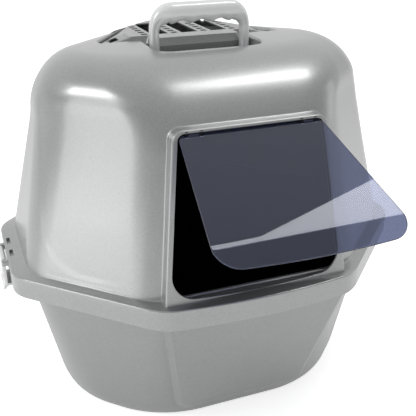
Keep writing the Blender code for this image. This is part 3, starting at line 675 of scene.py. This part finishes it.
def makeHood():
    wall, crease, roof = litterBox["wall"], litterBox["crease"], hoodShape["roof"]
    rings, innerRows = hoodRings()
    hood = ringLoft("hood_shell", rings, innerRows=innerRows)
    hood.data.materials.append(finishes["hood"])
    # second slot: near-black painted shade for the inner faces
    hood.data.materials.append(finishes["inside"])
    through = doorOutline(doorway["margin"] - wall + 0.0005, 0.0020,
                          doorway["hingeRise"] + doorway["headGap"] + 0.001, 0.003, 0.012)
    combine(hood, slab("doorwayCut", through, (-0.075, 0.030)), "DIFFERENCE")
    combine(hood, porchFrame(), "UNION")
    print("stage: dome and porch joined")

    # roof pocket: a thick tray is added, then hollowed with a rounded rim
    floor, rim = roofPocket["floor"], roofPocket["rim"]
    tray = [[(x, y, z) for x, y in pocketOutline(1.03)] for z in (floor - wall, roof - wall / 2)]
    tray = ringLoft("tray", tray)
    # the tray's faces left inside the hood take the near-black painted shade
    for face in tray.data.polygons:
        face.material_index = 1
    combine(hood, tray, "UNION")
    floorScale, rimScale = roofPocket["floorScale"], roofPocket["rimScale"]
    hollow = [(floorScale, floor), (rimScale, roof - rim)]
    for k in range(1, 6):
        turn = math.radians(15 * k)
        hollow.append((rimScale + rim * (1 - math.cos(turn)) / 0.115, roof - rim * (1 - math.sin(turn))))
    hollow.append((1.04, roof + 0.004))
    hollow.append((1.06, roof + 0.030))
    combine(hood, ringLoft("pocket", [[(x, y, z) for x, y in pocketOutline(s)] for s, z in hollow]), "DIFFERENCE")

    cuts = [boxAt("airSlot", (x - 0.008, 0.012, floor - 0.01), (x + 0.008, 0.098, floor + 0.005), 0.002)
            for x in roofPocket["slotX"]]
    for side in (-1, 1):
        x, y = side * handleShape["legX"], handleShape["y"]
        cuts.append(boxAt("socket", (x - 0.0070, y - 0.0062, floor - 0.01), (x + 0.0070, y + 0.0062, floor + 0.005)))
    combine(hood, joinAll(cuts), "DIFFERENCE")

    # ears under the doorway's head, and the latches' knuckles on the skirt
    axis, ears, added, bores = hingeAxis(), [], [], []
    for side in (-1, 1):
        for end in (-1, 1):
            middle = side * pinShape["lugX"] + end * (pinShape["lugWidth"] / 2 + 0.0003 + pinShape["earWidth"] / 2)
            half = pinShape["earWidth"] / 2
            ears.append(boxAt("ear", (middle - half, axis.y - 0.0024, axis.z - 0.0024),
                              (middle + half, axis.y + 0.0024, axis.z + doorway["headGap"] + 0.002), 0.0006))
            y = latchShape["y"] + end * (latchShape["width"] / 2 + 0.0045)
            skin = side * (hoodShape["skirt"]["side"] - wall / 2)
            tip = side * (latchShape["axisX"] + 0.0030)
            added.append(boxAt("knuckle", (min(skin, tip), y - 0.0038, latchShape["axisZ"] - 0.0036),
                               (max(skin, tip), y + 0.0038, latchShape["axisZ"] + 0.0036), 0.0012, 3))
            x, y = side * latchShape["slotX"], latchShape["y"] + end * latchShape["slotY"]
            halfX, halfY = latchShape["slotHalf"]
            bores.append(boxAt("latchSlot", (x - halfX, y - halfY, crease - 0.006),
                               (x + halfX, y + halfY, crease + 0.006), 0.0015, 3))
        reach = pinShape["lugWidth"] / 2 + pinShape["earWidth"] - 0.0006
        radius = pinShape["radius"] + pinShape["gap"]
        bores.append(rodBetween("pinBore", (side * pinShape["lugX"] - reach, axis.y, axis.z),
                                (side * pinShape["lugX"] + reach, axis.y, axis.z), radius))
        x, reach = side * latchShape["axisX"], latchShape["width"] / 2 + 0.0065
        bores.append(rodBetween("latchBore", (x, latchShape["y"] - reach, latchShape["axisZ"]),
                                (x, latchShape["y"] + reach, latchShape["axisZ"]), radius))
    ears = joinAll(ears)
    # the ears take the near-black painted shade of the doorway's head
    for face in ears.data.polygons:
        face.material_index = 1
    combine(hood, ears, "UNION")
    combine(hood, joinAll(added), "UNION")
    combine(hood, joinAll(bores), "DIFFERENCE")
    # faces turned down under the roof pocket take the near-black painted shade
    for face in hood.data.polygons:
        if face.normal.z < -0.9 and face.center.z > floor - wall - 0.001:
            face.material_index = 1
    return hood


hood = makeHood()
finishPiece(hood, "hood_body", None, ("hood",))
print("stage: hood made,", len(hood.data.polygons), "faces")


# pan: a tray with a flanged rim and a raised front panel
panShape = {
    "head": {"front": 0.2290, "chamfer": 0.2345, "side": 0.2455, "rear": 0.2230, "back": 0.2680},
    "foot": {"front": 0.1690, "chamfer": 0.1990, "side": 0.2085, "rear": 0.1830, "back": 0.2200},
    "headRise": 0.182,
    "headRound": 0.048,
    "footRound": 0.145,
    "filletRise": 0.025,      # the soft edge between wall and floor
    "filletReach": 0.006,
    "runGap": 0.0008,
    "fitGap": 0.0003,
    "lipDrop": 0.012,
    "panelHead": 0.117,       # half-widths of the raised panel
    "panelFoot": 0.0885,
    "panelLow": 0.0200,
    "panelRound": 0.013,
    "panelProud": 0.0034,
    "panelSlope": 0.0042,
}


def panDistance(z, inward=0.0):
    share = (panShape["headRise"] - z) / panShape["headRise"]
    if z < panShape["filletRise"]:
        inward += panShape["filletReach"] * (1 - math.sqrt(1 - (1 - z / panShape["filletRise"]) ** 2))
    return shifted(between(panShape["head"], panShape["foot"], share), inward)


def panCorner(z):
    return panShape["headRound"] + (panShape["footRound"] - panShape["headRound"]) * (1 - z / litterBox["crease"])


def panRings():
    wall, fillet = litterBox["wall"], panShape["filletRise"]
    rimTop = litterBox["crease"] - wall - panShape["fitGap"]
    rimUnder, lipFoot = rimTop - wall, rimTop - panShape["lipDrop"]
    lip = shifted(hoodShape["skirt"], wall + panShape["runGap"])

    def wallRings(inward, base, top):
        heights = [fillet * (1 - math.cos(math.radians(90 * k / 9))) for k in range(10)]
        heights += [fillet + (top - fillet) * k / 10 for k in range(1, 11)]
        rings = []
        for z in heights:
            lift = base * max(0.0, 1 - z / fillet)
            rings.append([(p.x, p.y, z + lift) for p in planRing(panDistance(z, inward), panCorner(z))])
        return rings

    def lipRing(inward, z):
        return [(p.x, p.y, z) for p in planRing(shifted(lip, inward), panShape["headRound"], litterBox["bow"])]

    rim = [lipRing(wall, rimUnder), lipRing(wall, lipFoot), lipRing(wall - 0.0004, lipFoot - 0.0004),
           lipRing(0.0004, lipFoot - 0.0004), lipRing(0.0, lipFoot), lipRing(0.0, rimTop - 0.001), lipRing(0.001, rimTop)]
    outer, inner = wallRings(0.0, 0.0, rimUnder) + rim, wallRings(wall, wall, rimTop)[::-1]
    # the inner wall rows take the near-black painted shade, standing in for the shadow inside the pan
    return outer + inner, range(len(outer), len(outer) + len(inner))


def panFront(z, stand):
    # a height on the pan's front wall, stood out from it
    return -panDistance(max(z, panShape["filletRise"]))["front"] - stand


def makePan():
    shape = panShape
    rings, innerRows = panRings()
    pan = ringLoft("pan_shell", rings, innerRows=innerRows)
    pan.data.materials.append(finishes["pan"])
    # second slot: near-black painted shade for the inner faces
    pan.data.materials.append(finishes["inside"])

    def outline(inset):
        head = shape["headRise"]
        return roundedOutline([(-shape["panelHead"] + inset, head, 0.003),
                               (-shape["panelFoot"] + inset, shape["panelLow"] + inset, shape["panelRound"]),
                               (shape["panelFoot"] - inset, shape["panelLow"] + inset, shape["panelRound"]),
                               (shape["panelHead"] - inset, head, 0.003)], arc=10, flats=(16, 16, 16, 16))

    slope, proud = shape["panelSlope"], shape["panelProud"]
    profile = [(-0.0030, -0.0015), (-0.0006, -0.0004), (0.0, 0.0001), (0.0005, 0.0005)]
    for k in range(6):
        turn = math.radians(90 * k / 5)
        profile.append((slope - 0.0018 * (1 - math.sin(turn)), proud - 0.0018 * (1 - math.cos(math.pi / 2 - turn))))
    profile.append((slope + 0.004, proud))
    panel = ringLoft("panel", [[(p.x, panFront(p.y, stand), p.y) for p in outline(inset)] for inset, stand in profile])
    combine(pan, panel, "UNION")
    ribs = []
    for side in (-1, 1):
        inner = side * (panDistance(0.172)["side"] - 0.0015)
        outer = side * (latchShape["axisX"] - 0.0165)
        ribs.append(boxAt("catchRib", (min(inner, outer), latchShape["y"] - 0.020, 0.1700),
                          (max(inner, outer), latchShape["y"] + 0.020, 0.1735), 0.0007))
    combine(pan, joinAll(ribs), "UNION")
    # the pan's inner floor takes the near-black painted shade, standing in for the shadow under the hood
    for face in pan.data.polygons:
        if face.normal.z > 0.9 and face.center.z < litterBox["wall"] * 1.5:
            face.material_index = 1
    return pan


pan = makePan()
finishPiece(pan, "pan_body", None, ("pan",))
print("stage: pan made,", len(pan.data.polygons), "faces")


# door: a clear flap with a bent lower lip, hung from two lugs
flapShape = {
    "length": 0.1820,
    "rise": 0.0018,           # upper edge above the hinge axis
    "sag": 0.0050,
    "thick": 0.0020,
    "open": 67.0,             # degrees from the vertical
    "sideGap": 0.0013,
    "headRound": 0.012,
    "footRound": 0.024,
    "lip": 0.0250,            # height of the bent lip at the lower edge
    "lipTurn": 7.0,
    "lipBlend": 0.0030,
    "edge": 0.0005,
}


def makeDoor():
    shape = flapShape
    lean = math.cos(math.atan(doorway["lean"]))
    top = doorway["halfWidth"] - doorway["taper"] * doorway["hingeRise"] - shape["sideGap"]
    low = top + shape["length"] * lean * doorway["taper"]
    rise = shape["rise"]
    outline = roundedOutline([(-top, rise, shape["headRound"]), (-low, -shape["length"], shape["footRound"]),
                              (low, -shape["length"], shape["footRound"]), (top, rise, shape["headRound"])],
                             arc=12, flats=(30, 24, 30, 16))

    def sagged(point):
        drop = shape["sag"] * (1 - (point.x / low) ** 2) if point.y < -shape["length"] / 2 else 0.0
        return (point.x, point.y - drop)

    half, edge = shape["thick"] / 2, shape["edge"]
    profile = [(edge * 4, -half), (edge, -half), (edge * 0.3, -half + edge * 0.3), (0.0, -half + edge),
               (0.0, half - edge), (edge * 0.3, half - edge * 0.3), (edge, half), (edge * 4, half)]
    inner = [sagged(p) for p in outline]
    rings = []
    for inset, across in profile:
        rings.append([(x * (1 - inset / low), across, z + (inset if z < -0.09 else -inset)) for x, z in inner])
    door = ringLoft("door_flap", rings)
    makeActive(door)
    bpy.ops.object.mode_set(mode="EDIT")
    # lines across the flap let the lip bend
    for k in range(9):
        bpy.ops.mesh.select_all(action="SELECT")
        height = -shape["length"] + shape["lip"] + shape["lipBlend"] * (k - 4) / 4
        bpy.ops.mesh.bisect(plane_co=(0, 0, height), plane_no=(0, 0, 1))
    bpy.ops.object.mode_set(mode="OBJECT")
    start = -shape["length"] + shape["lip"]
    for vertex in door.data.vertices:
        below = start + shape["lipBlend"] - vertex.co.z
        if below > 0:
            turned = min(1.0, below / (2 * shape["lipBlend"]))
            vertex.co.y += math.tan(math.radians(shape["lipTurn"])) * (below - shape["lipBlend"] * turned) * turned
    cuts, lugs, bores = [], [], []
    radius = pinShape["radius"] + pinShape["gap"]
    for side in (-1, 1):
        x = side * pinShape["lugX"]
        for end in (-1, 1):
            middle = x + end * (pinShape["lugWidth"] / 2 + pinShape["earWidth"] / 2 + 0.0003)
            reach = pinShape["earWidth"] / 2 + 0.0003
            cuts.append(boxAt("earNotch", (middle - reach, -0.005, -0.0042), (middle + reach, 0.005, 0.005)))
        lugs.append(rodBetween("lug", (x - pinShape["lugWidth"] / 2, 0, 0), (x + pinShape["lugWidth"] / 2, 0, 0),
                               0.0024, 32))
        reach = pinShape["lugWidth"] / 2 + 0.0002
        bores.append(rodBetween("lugBore", (x - reach, 0, 0), (x + reach, 0, 0), radius))
    combine(door, joinAll(cuts), "DIFFERENCE")
    combine(door, joinAll(lugs), "UNION")
    combine(door, joinAll(bores), "DIFFERENCE")
    makeActive(door)
    door.location = hingeAxis()
    door.rotation_euler.x = math.radians(-shape["open"])
    bpy.ops.object.transform_apply(location=True, rotation=True, scale=True)
    return door


door = makeDoor()
finishPiece(door, "door_body", finishes["smoke"], ("door",), 16)
print("stage: door made")


# handle: two grooved legs and a thick grip with finger scallops beneath
gripShape = {
    "scallops": 3,
    "scallopDepth": 0.0048,
    "legDepth": 0.0066,       # front to back
    "legHalf": 0.0062,        # side to side
    "gripUp": 0.0130,
    "gripDeep": 0.0130,
    "groove": 0.0016,
    "ringPoints": 48,
}


def makeHandle():
    shape, place = gripShape, handleShape
    floor, legTop, bend = roofPocket["floor"], place["top"] - shape["gripUp"], place["bend"]
    route = []                # (x, z, direction angle, share of grip)
    legSteps, bendSteps, gripSteps = 14, 12, 40
    low = floor - 0.002
    for k in range(legSteps):
        route.append((-place["legX"], low + (legTop - bend - low) * k / legSteps, 90.0, 0.0))
    for k in range(bendSteps + 1):
        turn = math.radians(90 * k / bendSteps)
        route.append((-place["legX"] + bend * (1 - math.cos(turn)), legTop - bend + bend * math.sin(turn),
                      90.0 - 90 * k / bendSteps, smoothStep(0, 1, k / bendSteps)))
    inner = -place["legX"] + bend
    for k in range(1, gripSteps // 2 + 1):
        route.append((inner + (0 - inner) * k / (gripSteps // 2), legTop, 0.0, 1.0))
    route += [(-x, z, -angle, share) for x, z, angle, share in route[-2::-1]]
    rings = []
    for x, z, angle, share in route:
        direction = math.radians(angle)
        up = Vector((-math.sin(direction), 0, math.cos(direction)))
        across = shape["legHalf"] + (shape["gripUp"] - shape["legHalf"]) * share
        deep = shape["legDepth"] + (shape["gripDeep"] - shape["legDepth"]) * share
        wave = 0.5 - 0.5 * math.cos(math.tau * shape["scallops"] * (x - inner) / (-2 * inner))
        scallop = shape["scallopDepth"] * wave * smoothStep(0.6, 1.0, share)
        ring = []
        for k in range(shape["ringPoints"]):
            turn = math.tau * k / shape["ringPoints"]
            side, lift = math.sin(turn), math.cos(turn)
            power = 0.86
            side = math.copysign(abs(side) ** power, side)
            lift = math.copysign(abs(lift) ** power, lift)
            y = side * deep
            height = lift * across
            if lift < 0:
                height += -lift * scallop * (1 - 0.5 * abs(side))
            if share < 1:
                # a long groove down the front and back of each leg
                dip = math.exp(-(lift / 0.34) ** 2) * shape["groove"] * (1 - share)
                y -= math.copysign(dip, side)
            ring.append(Vector((x, place["y"] + y, z)) + up * height)
        rings.append(ring)
    handle = ringLoft("carry_handle", rings)
    tongues = [boxAt("tongue", (side * place["legX"] - 0.0055, place["y"] - 0.0045, floor - 0.010),
                     (side * place["legX"] + 0.0055, place["y"] + 0.0045, floor + 0.006), 0.0008) for side in (-1, 1)]
    combine(handle, joinAll(tongues), "UNION")
    return handle


handle = makeHandle()
finishPiece(handle, "hood_body", finishes["handle"], ("handle",))
print("stage: handle made")


# filter cover: a sloped lid with three deep slots and four rows of holes
coverShape = {
    "top": 0.4745,
    "shoulder": 0.4655,       # where the upright sides turn in
    "spread": 1.025,
    "foot": [(0.0600, -0.0265, 0.005), (0.0600, -0.0035, 0.004), (0.1150, -0.0035, 0.006),
             (0.1150, 0.0150, 0.012), (0.0735, 0.0850, 0.026), (0.0265, 0.1310, 0.018)],
    "head": [(0.0575, -0.0250, 0.005), (0.0575, -0.0015, 0.004), (0.0850, -0.0015, 0.006),
             (0.0850, 0.0280, 0.012), (0.0665, 0.0790, 0.016), (0.0230, 0.1210, 0.018)],
    "wall": 0.0022,
    "edge": 0.0012,           # radius of the top's edge
    "slotX": (-0.041, 0.0, 0.041),
    "slotHalf": 0.0112,
    "slotEnds": (0.0040, 0.0960),
    "holeX": (-0.0610, -0.0205, 0.0205, 0.0610),
    "holeFirst": 0.0090,
    "holePitch": 0.0155,
    "holeHalf": (0.0043, 0.0044),
    "ventX": (0.0960, 0.1250),
    "ventY": (0.0030, 0.0230),
    "ventZ": (0.4665, 0.4712),
}


def makeCover():
    shape, floor = coverShape, roofPocket["floor"] + 0.0003
    top, edge = shape["top"], shape["edge"]
    foot, shoulder = mirrored(shape["foot"]), mirrored(shape["foot"], shape["spread"])
    head, centre = mirrored(shape["head"]), roofPocket["centreY"]

    def ring(outline, z, scale=1.0):
        return [(x * scale, centre + (y - centre) * scale, z) for x, y in outline]

    rings = [ring(foot, floor), ring(shoulder, shape["shoulder"] - 0.0006), ring(shoulder, shape["shoulder"], 0.996)]
    for k in range(5):
        turn = math.radians(22.5 * k)
        rings.append(ring(head, top - edge * (1 - math.sin(turn)), 1 - 0.012 * (1 - math.cos(turn))))
    rings.append(ring(head, top, 0.970))
    cover = ringLoft("vent_cover", rings)
    wall = shape["wall"]
    hollow = [ring(foot, floor - 0.0005, 0.970), ring(shoulder, shape["shoulder"] - wall / 2, 0.970),
              ring(head, top - wall, 0.975)]
    combine(cover, ringLoft("coverHollow", hollow), "DIFFERENCE")
    cuts, low, high = [], top - 0.006, top + 0.004
    front, back = shape["slotEnds"]
    for x in shape["slotX"]:
        cuts.append(boxAt("slot", (x - shape["slotHalf"], front, low), (x + shape["slotHalf"], back, high), 0.0016, 3))
    wide, deep = shape["holeHalf"]
    for x in shape["holeX"]:
        for k in range(5):
            y = shape["holeFirst"] + shape["holePitch"] * k
            cuts.append(boxAt("hole", (x - wide, y - deep, low), (x + wide, y + deep, high), 0.0012, 3))
    for side in (-1, 1):
        lowX, highX = sorted(side * x for x in shape["ventX"])
        (lowY, highY), (lowZ, highZ) = shape["ventY"], shape["ventZ"]
        cuts.append(boxAt("sideVent", (lowX, lowY, lowZ), (highX, highY, highZ), 0.0008))
    combine(cover, joinAll(cuts), "DIFFERENCE")
    applyModifier(cover, "BEVEL", width=0.0004, segments=2, limit_method="ANGLE", angle_limit=math.radians(50))
    return cover


cover = makeCover()
finishPiece(cover, "cover_body", finishes["cover"], ("filter_cover",))

felt = boxAt("felt_pad", *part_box("filter_pad"), 0.0016, 3)
applyModifier(felt, "SUBSURF", subdivision_type="SIMPLE", levels=3, render_levels=3)
for vertex in felt.data.vertices:
    # slightly uneven, as cut felt lies
    vertex.co.z -= 0.0003 * (1 + math.sin(vertex.co.x * 190) * math.cos(vertex.co.y * 230)) * (vertex.co.z > roofPocket["floor"] + 0.003)
finishPiece(felt, "hood_body", finishes["felt"], ("filter_pad",))
print("stage: filter and its cover made")


# latches: clips that hang on the skirt and hook under the pan's catch ribs
def makeLatch(side):
    shape = latchShape
    axisX, axisZ, foot = shape["axisX"], shape["axisZ"], shape["foot"]
    half, hookTip = shape["width"] / 2 - 0.0004, shape["axisX"] - 0.0161
    profile = [(axisX - 0.0015, axisZ), (axisX - 0.0015, foot + 0.0055), (hookTip, foot + 0.0055),
               (hookTip, foot + 0.0030), (axisX - 0.0010, foot + 0.0015), (axisX + 0.0030, foot - 0.0035),
               (axisX + 0.0052, foot - 0.0020), (axisX + 0.0022, foot + 0.0065), (axisX + 0.0022, axisZ)]
    rings = [[(side * x, shape["y"] + y, z) for x, z in profile] for y in (-half, half)]
    latch = ringLoft("latch_clip_right" if side > 0 else "latch_clip_left", rings)
    applyModifier(latch, "BEVEL", width=0.0006, segments=3, limit_method="ANGLE", angle_limit=math.radians(30))
    barrel = rodBetween("barrel", (side * axisX, shape["y"] - half, axisZ), (side * axisX, shape["y"] + half, axisZ),
                        0.0036, 40, 0.0006)
    combine(latch, barrel, "UNION")
    ribs = []
    for k in range(5):
        z = axisZ - 0.0100 - 0.0045 * k
        low, high = sorted((side * (axisX + 0.0018), side * (axisX + 0.0030)))
        ribs.append(boxAt("rib", (low, shape["y"] - half + 0.003, z - 0.0009),
                          (high, shape["y"] + half - 0.003, z + 0.0009), 0.0004))
    combine(latch, joinAll(ribs), "UNION")
    bore = rodBetween("bore", (side * axisX, shape["y"] - half - 0.01, axisZ),
                      (side * axisX, shape["y"] + half + 0.01, axisZ), pinShape["radius"] + pinShape["gap"])
    combine(latch, bore, "DIFFERENCE")
    return latch


for side, name in ((-1, "left"), (1, "right")):
    finishPiece(makeLatch(side), "latch_" + name + "_body", finishes["latch"], ("latch_" + name,))
    for node in ("door_pin_" + name, "latch_pin_" + name):
        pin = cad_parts[node]
        pin.data.materials.clear()
        pin.data.materials.append(finishes["steel"])
print("stage: latches and pins made")


# studio: pale floor, soft boxes, camera
def paleFloor():
    bpy.ops.mesh.primitive_plane_add(size=40.0, location=(0, 12.0, -0.0002))
    floor = bpy.context.object
    floor.name = "studio_floor"
    material = bpy.data.materials.new("paleFloor")
    material.use_nodes = True
    nodes, links = material.node_tree.nodes, material.node_tree.links
    shader = nodes["Principled BSDF"]
    place, cloud, tone = (nodes.new(kind) for kind in ("ShaderNodeTexCoord", "ShaderNodeTexNoise", "ShaderNodeMix"))
    tone.data_type = "RGBA"
    tone.inputs["A"].default_value = (0.93, 0.93, 0.93, 1.0)
    tone.inputs["B"].default_value = (0.95, 0.95, 0.95, 1.0)
    links.new(place.outputs["Object"], cloud.inputs["Vector"])
    links.new(cloud.outputs["Fac"], tone.inputs["Factor"])
    links.new(tone.outputs["Result"], shader.inputs["Base Color"])
    shader.inputs["Roughness"].default_value = 0.9
    shader.inputs["Specular IOR Level"].default_value = 0.1
    shader.inputs["Emission Color"].default_value = (1.0, 1.0, 1.0, 1.0)
    eye, glow = nodes.new("ShaderNodeLightPath"), nodes.new("ShaderNodeMath")
    glow.operation = "MULTIPLY_ADD"
    glow.inputs[1].default_value = studio["floorGlow"]
    glow.inputs[2].default_value = studio["floorBounce"]
    links.new(eye.outputs["Is Camera Ray"], glow.inputs[0])
    links.new(glow.outputs[0], shader.inputs["Emission Strength"])
    floor.data.materials.append(material)


def softBox(name, place, aim, size, power):
    light = bpy.data.lights.new(name, "AREA")
    light.shape = "RECTANGLE"
    light.size, light.size_y = size
    light.energy = power
    lamp = bpy.data.objects.new(name, light)
    bpy.context.scene.collection.objects.link(lamp)
    lamp.location = place
    lamp.rotation_euler = (Vector(aim) - Vector(place)).to_track_quat("-Z", "Y").to_euler()
    return lamp


def studioWorld():
    world = bpy.data.worlds.new("studioWorld")
    bpy.context.scene.world = world
    world.use_nodes = True
    nodes, links = world.node_tree.nodes, world.node_tree.links
    backdrop = nodes["Background"]
    place = nodes.new("ShaderNodeTexCoord")
    parts = nodes.new("ShaderNodeSeparateXYZ")
    ramp = nodes.new("ShaderNodeValToRGB")
    links.new(place.outputs["Generated"], parts.inputs["Vector"])
    height, behind = nodes.new("ShaderNodeMapRange"), nodes.new("ShaderNodeMapRange")
    height.inputs["From Min"].default_value = -1.0
    links.new(parts.outputs["Z"], height.inputs["Value"])
    links.new(height.outputs["Result"], ramp.inputs["Fac"])
    stops = ramp.color_ramp.elements
    stops[0].position, stops[0].color = 0.48, (0.46, 0.46, 0.46, 1)
    stops[1].position, stops[1].color = 1.0, (0.60, 0.60, 0.60, 1)
    middle = stops.new(0.62)
    middle.color = (0.40, 0.40, 0.40, 1)
    # the room is brighter behind the box
    behind.inputs["From Min"].default_value = -0.1
    behind.inputs["To Max"].default_value = studio["backWall"]
    links.new(parts.outputs["Y"], behind.inputs["Value"])
    room, eye, seen = (nodes.new("ShaderNode" + kind) for kind in ("Math", "LightPath", "Mix"))
    links.new(ramp.outputs["Color"], room.inputs[0])
    links.new(behind.outputs["Result"], room.inputs[1])
    links.new(eye.outputs["Is Camera Ray"], seen.inputs["Factor"])
    links.new(room.outputs[0], seen.inputs["A"])
    seen.inputs["B"].default_value = 1.0
    links.new(seen.outputs["Result"], backdrop.inputs["Strength"])
    backdrop.inputs["Color"].default_value = (1.0, 1.0, 1.0, 1.0)


studio = {
    "floorGlow": 0.40,
    "floorBounce": 0.22,
    "backWall": 0.45,
    "lens": 59.58,
    "azimuth": 20.58,
    "elevation": 23.95,
    "roll": -0.53,
    "distance": 1.0148,
    "target": (0.0223, 0.0, 0.2172),
    "shift": (-0.4 / 416, 0.8 / 416),
}

paleFloor()
studioWorld()
softBox("leftBox", (-2.20, -0.62, 0.72), (-0.16, -0.14, 0.38), (0.30, 1.35), 3.6)
softBox("highLeftBox", (-1.70, -0.16, 1.52), (-0.20, -0.16, 0.25), (0.50, 0.60), 6)
softBox("lowLeftBox", (-0.95, -0.35, 0.14), (-0.25, -0.15, 0.05), (0.90, 0.24), 0.5)
softBox("topBox", (1.00, 0.02, 2.34), (0.02, -0.20, 0.40), (0.45, 0.90), 7.5)
softBox("rightBox", (2.0, -0.2, 0.8), (0.15, -0.10, 0.25), (0.5, 1.0), 1.2)


def makeCamera():
    azimuth, elevation, roll = (math.radians(studio[k]) for k in ("azimuth", "elevation", "roll"))
    forward = Vector((math.sin(azimuth) * math.cos(elevation), math.cos(azimuth) * math.cos(elevation),
                      -math.sin(elevation)))
    level = Vector((math.cos(azimuth), -math.sin(azimuth), 0))
    over = level.cross(forward)
    across = math.cos(roll) * level + math.sin(roll) * over
    upward = math.cos(roll) * over - math.sin(roll) * level
    data = bpy.data.cameras.new("camera")
    data.lens, data.sensor_width = studio["lens"], 36.0
    data.shift_x, data.shift_y = studio["shift"]
    camera = bpy.data.objects.new("camera", data)
    bpy.context.scene.collection.objects.link(camera)
    turn = Matrix((across, upward, -forward)).transposed().to_4x4()
    camera.matrix_world = Matrix.Translation(Vector(studio["target"]) - forward * studio["distance"]) @ turn
    bpy.context.scene.camera = camera


makeCamera()
print("stage: studio ready")
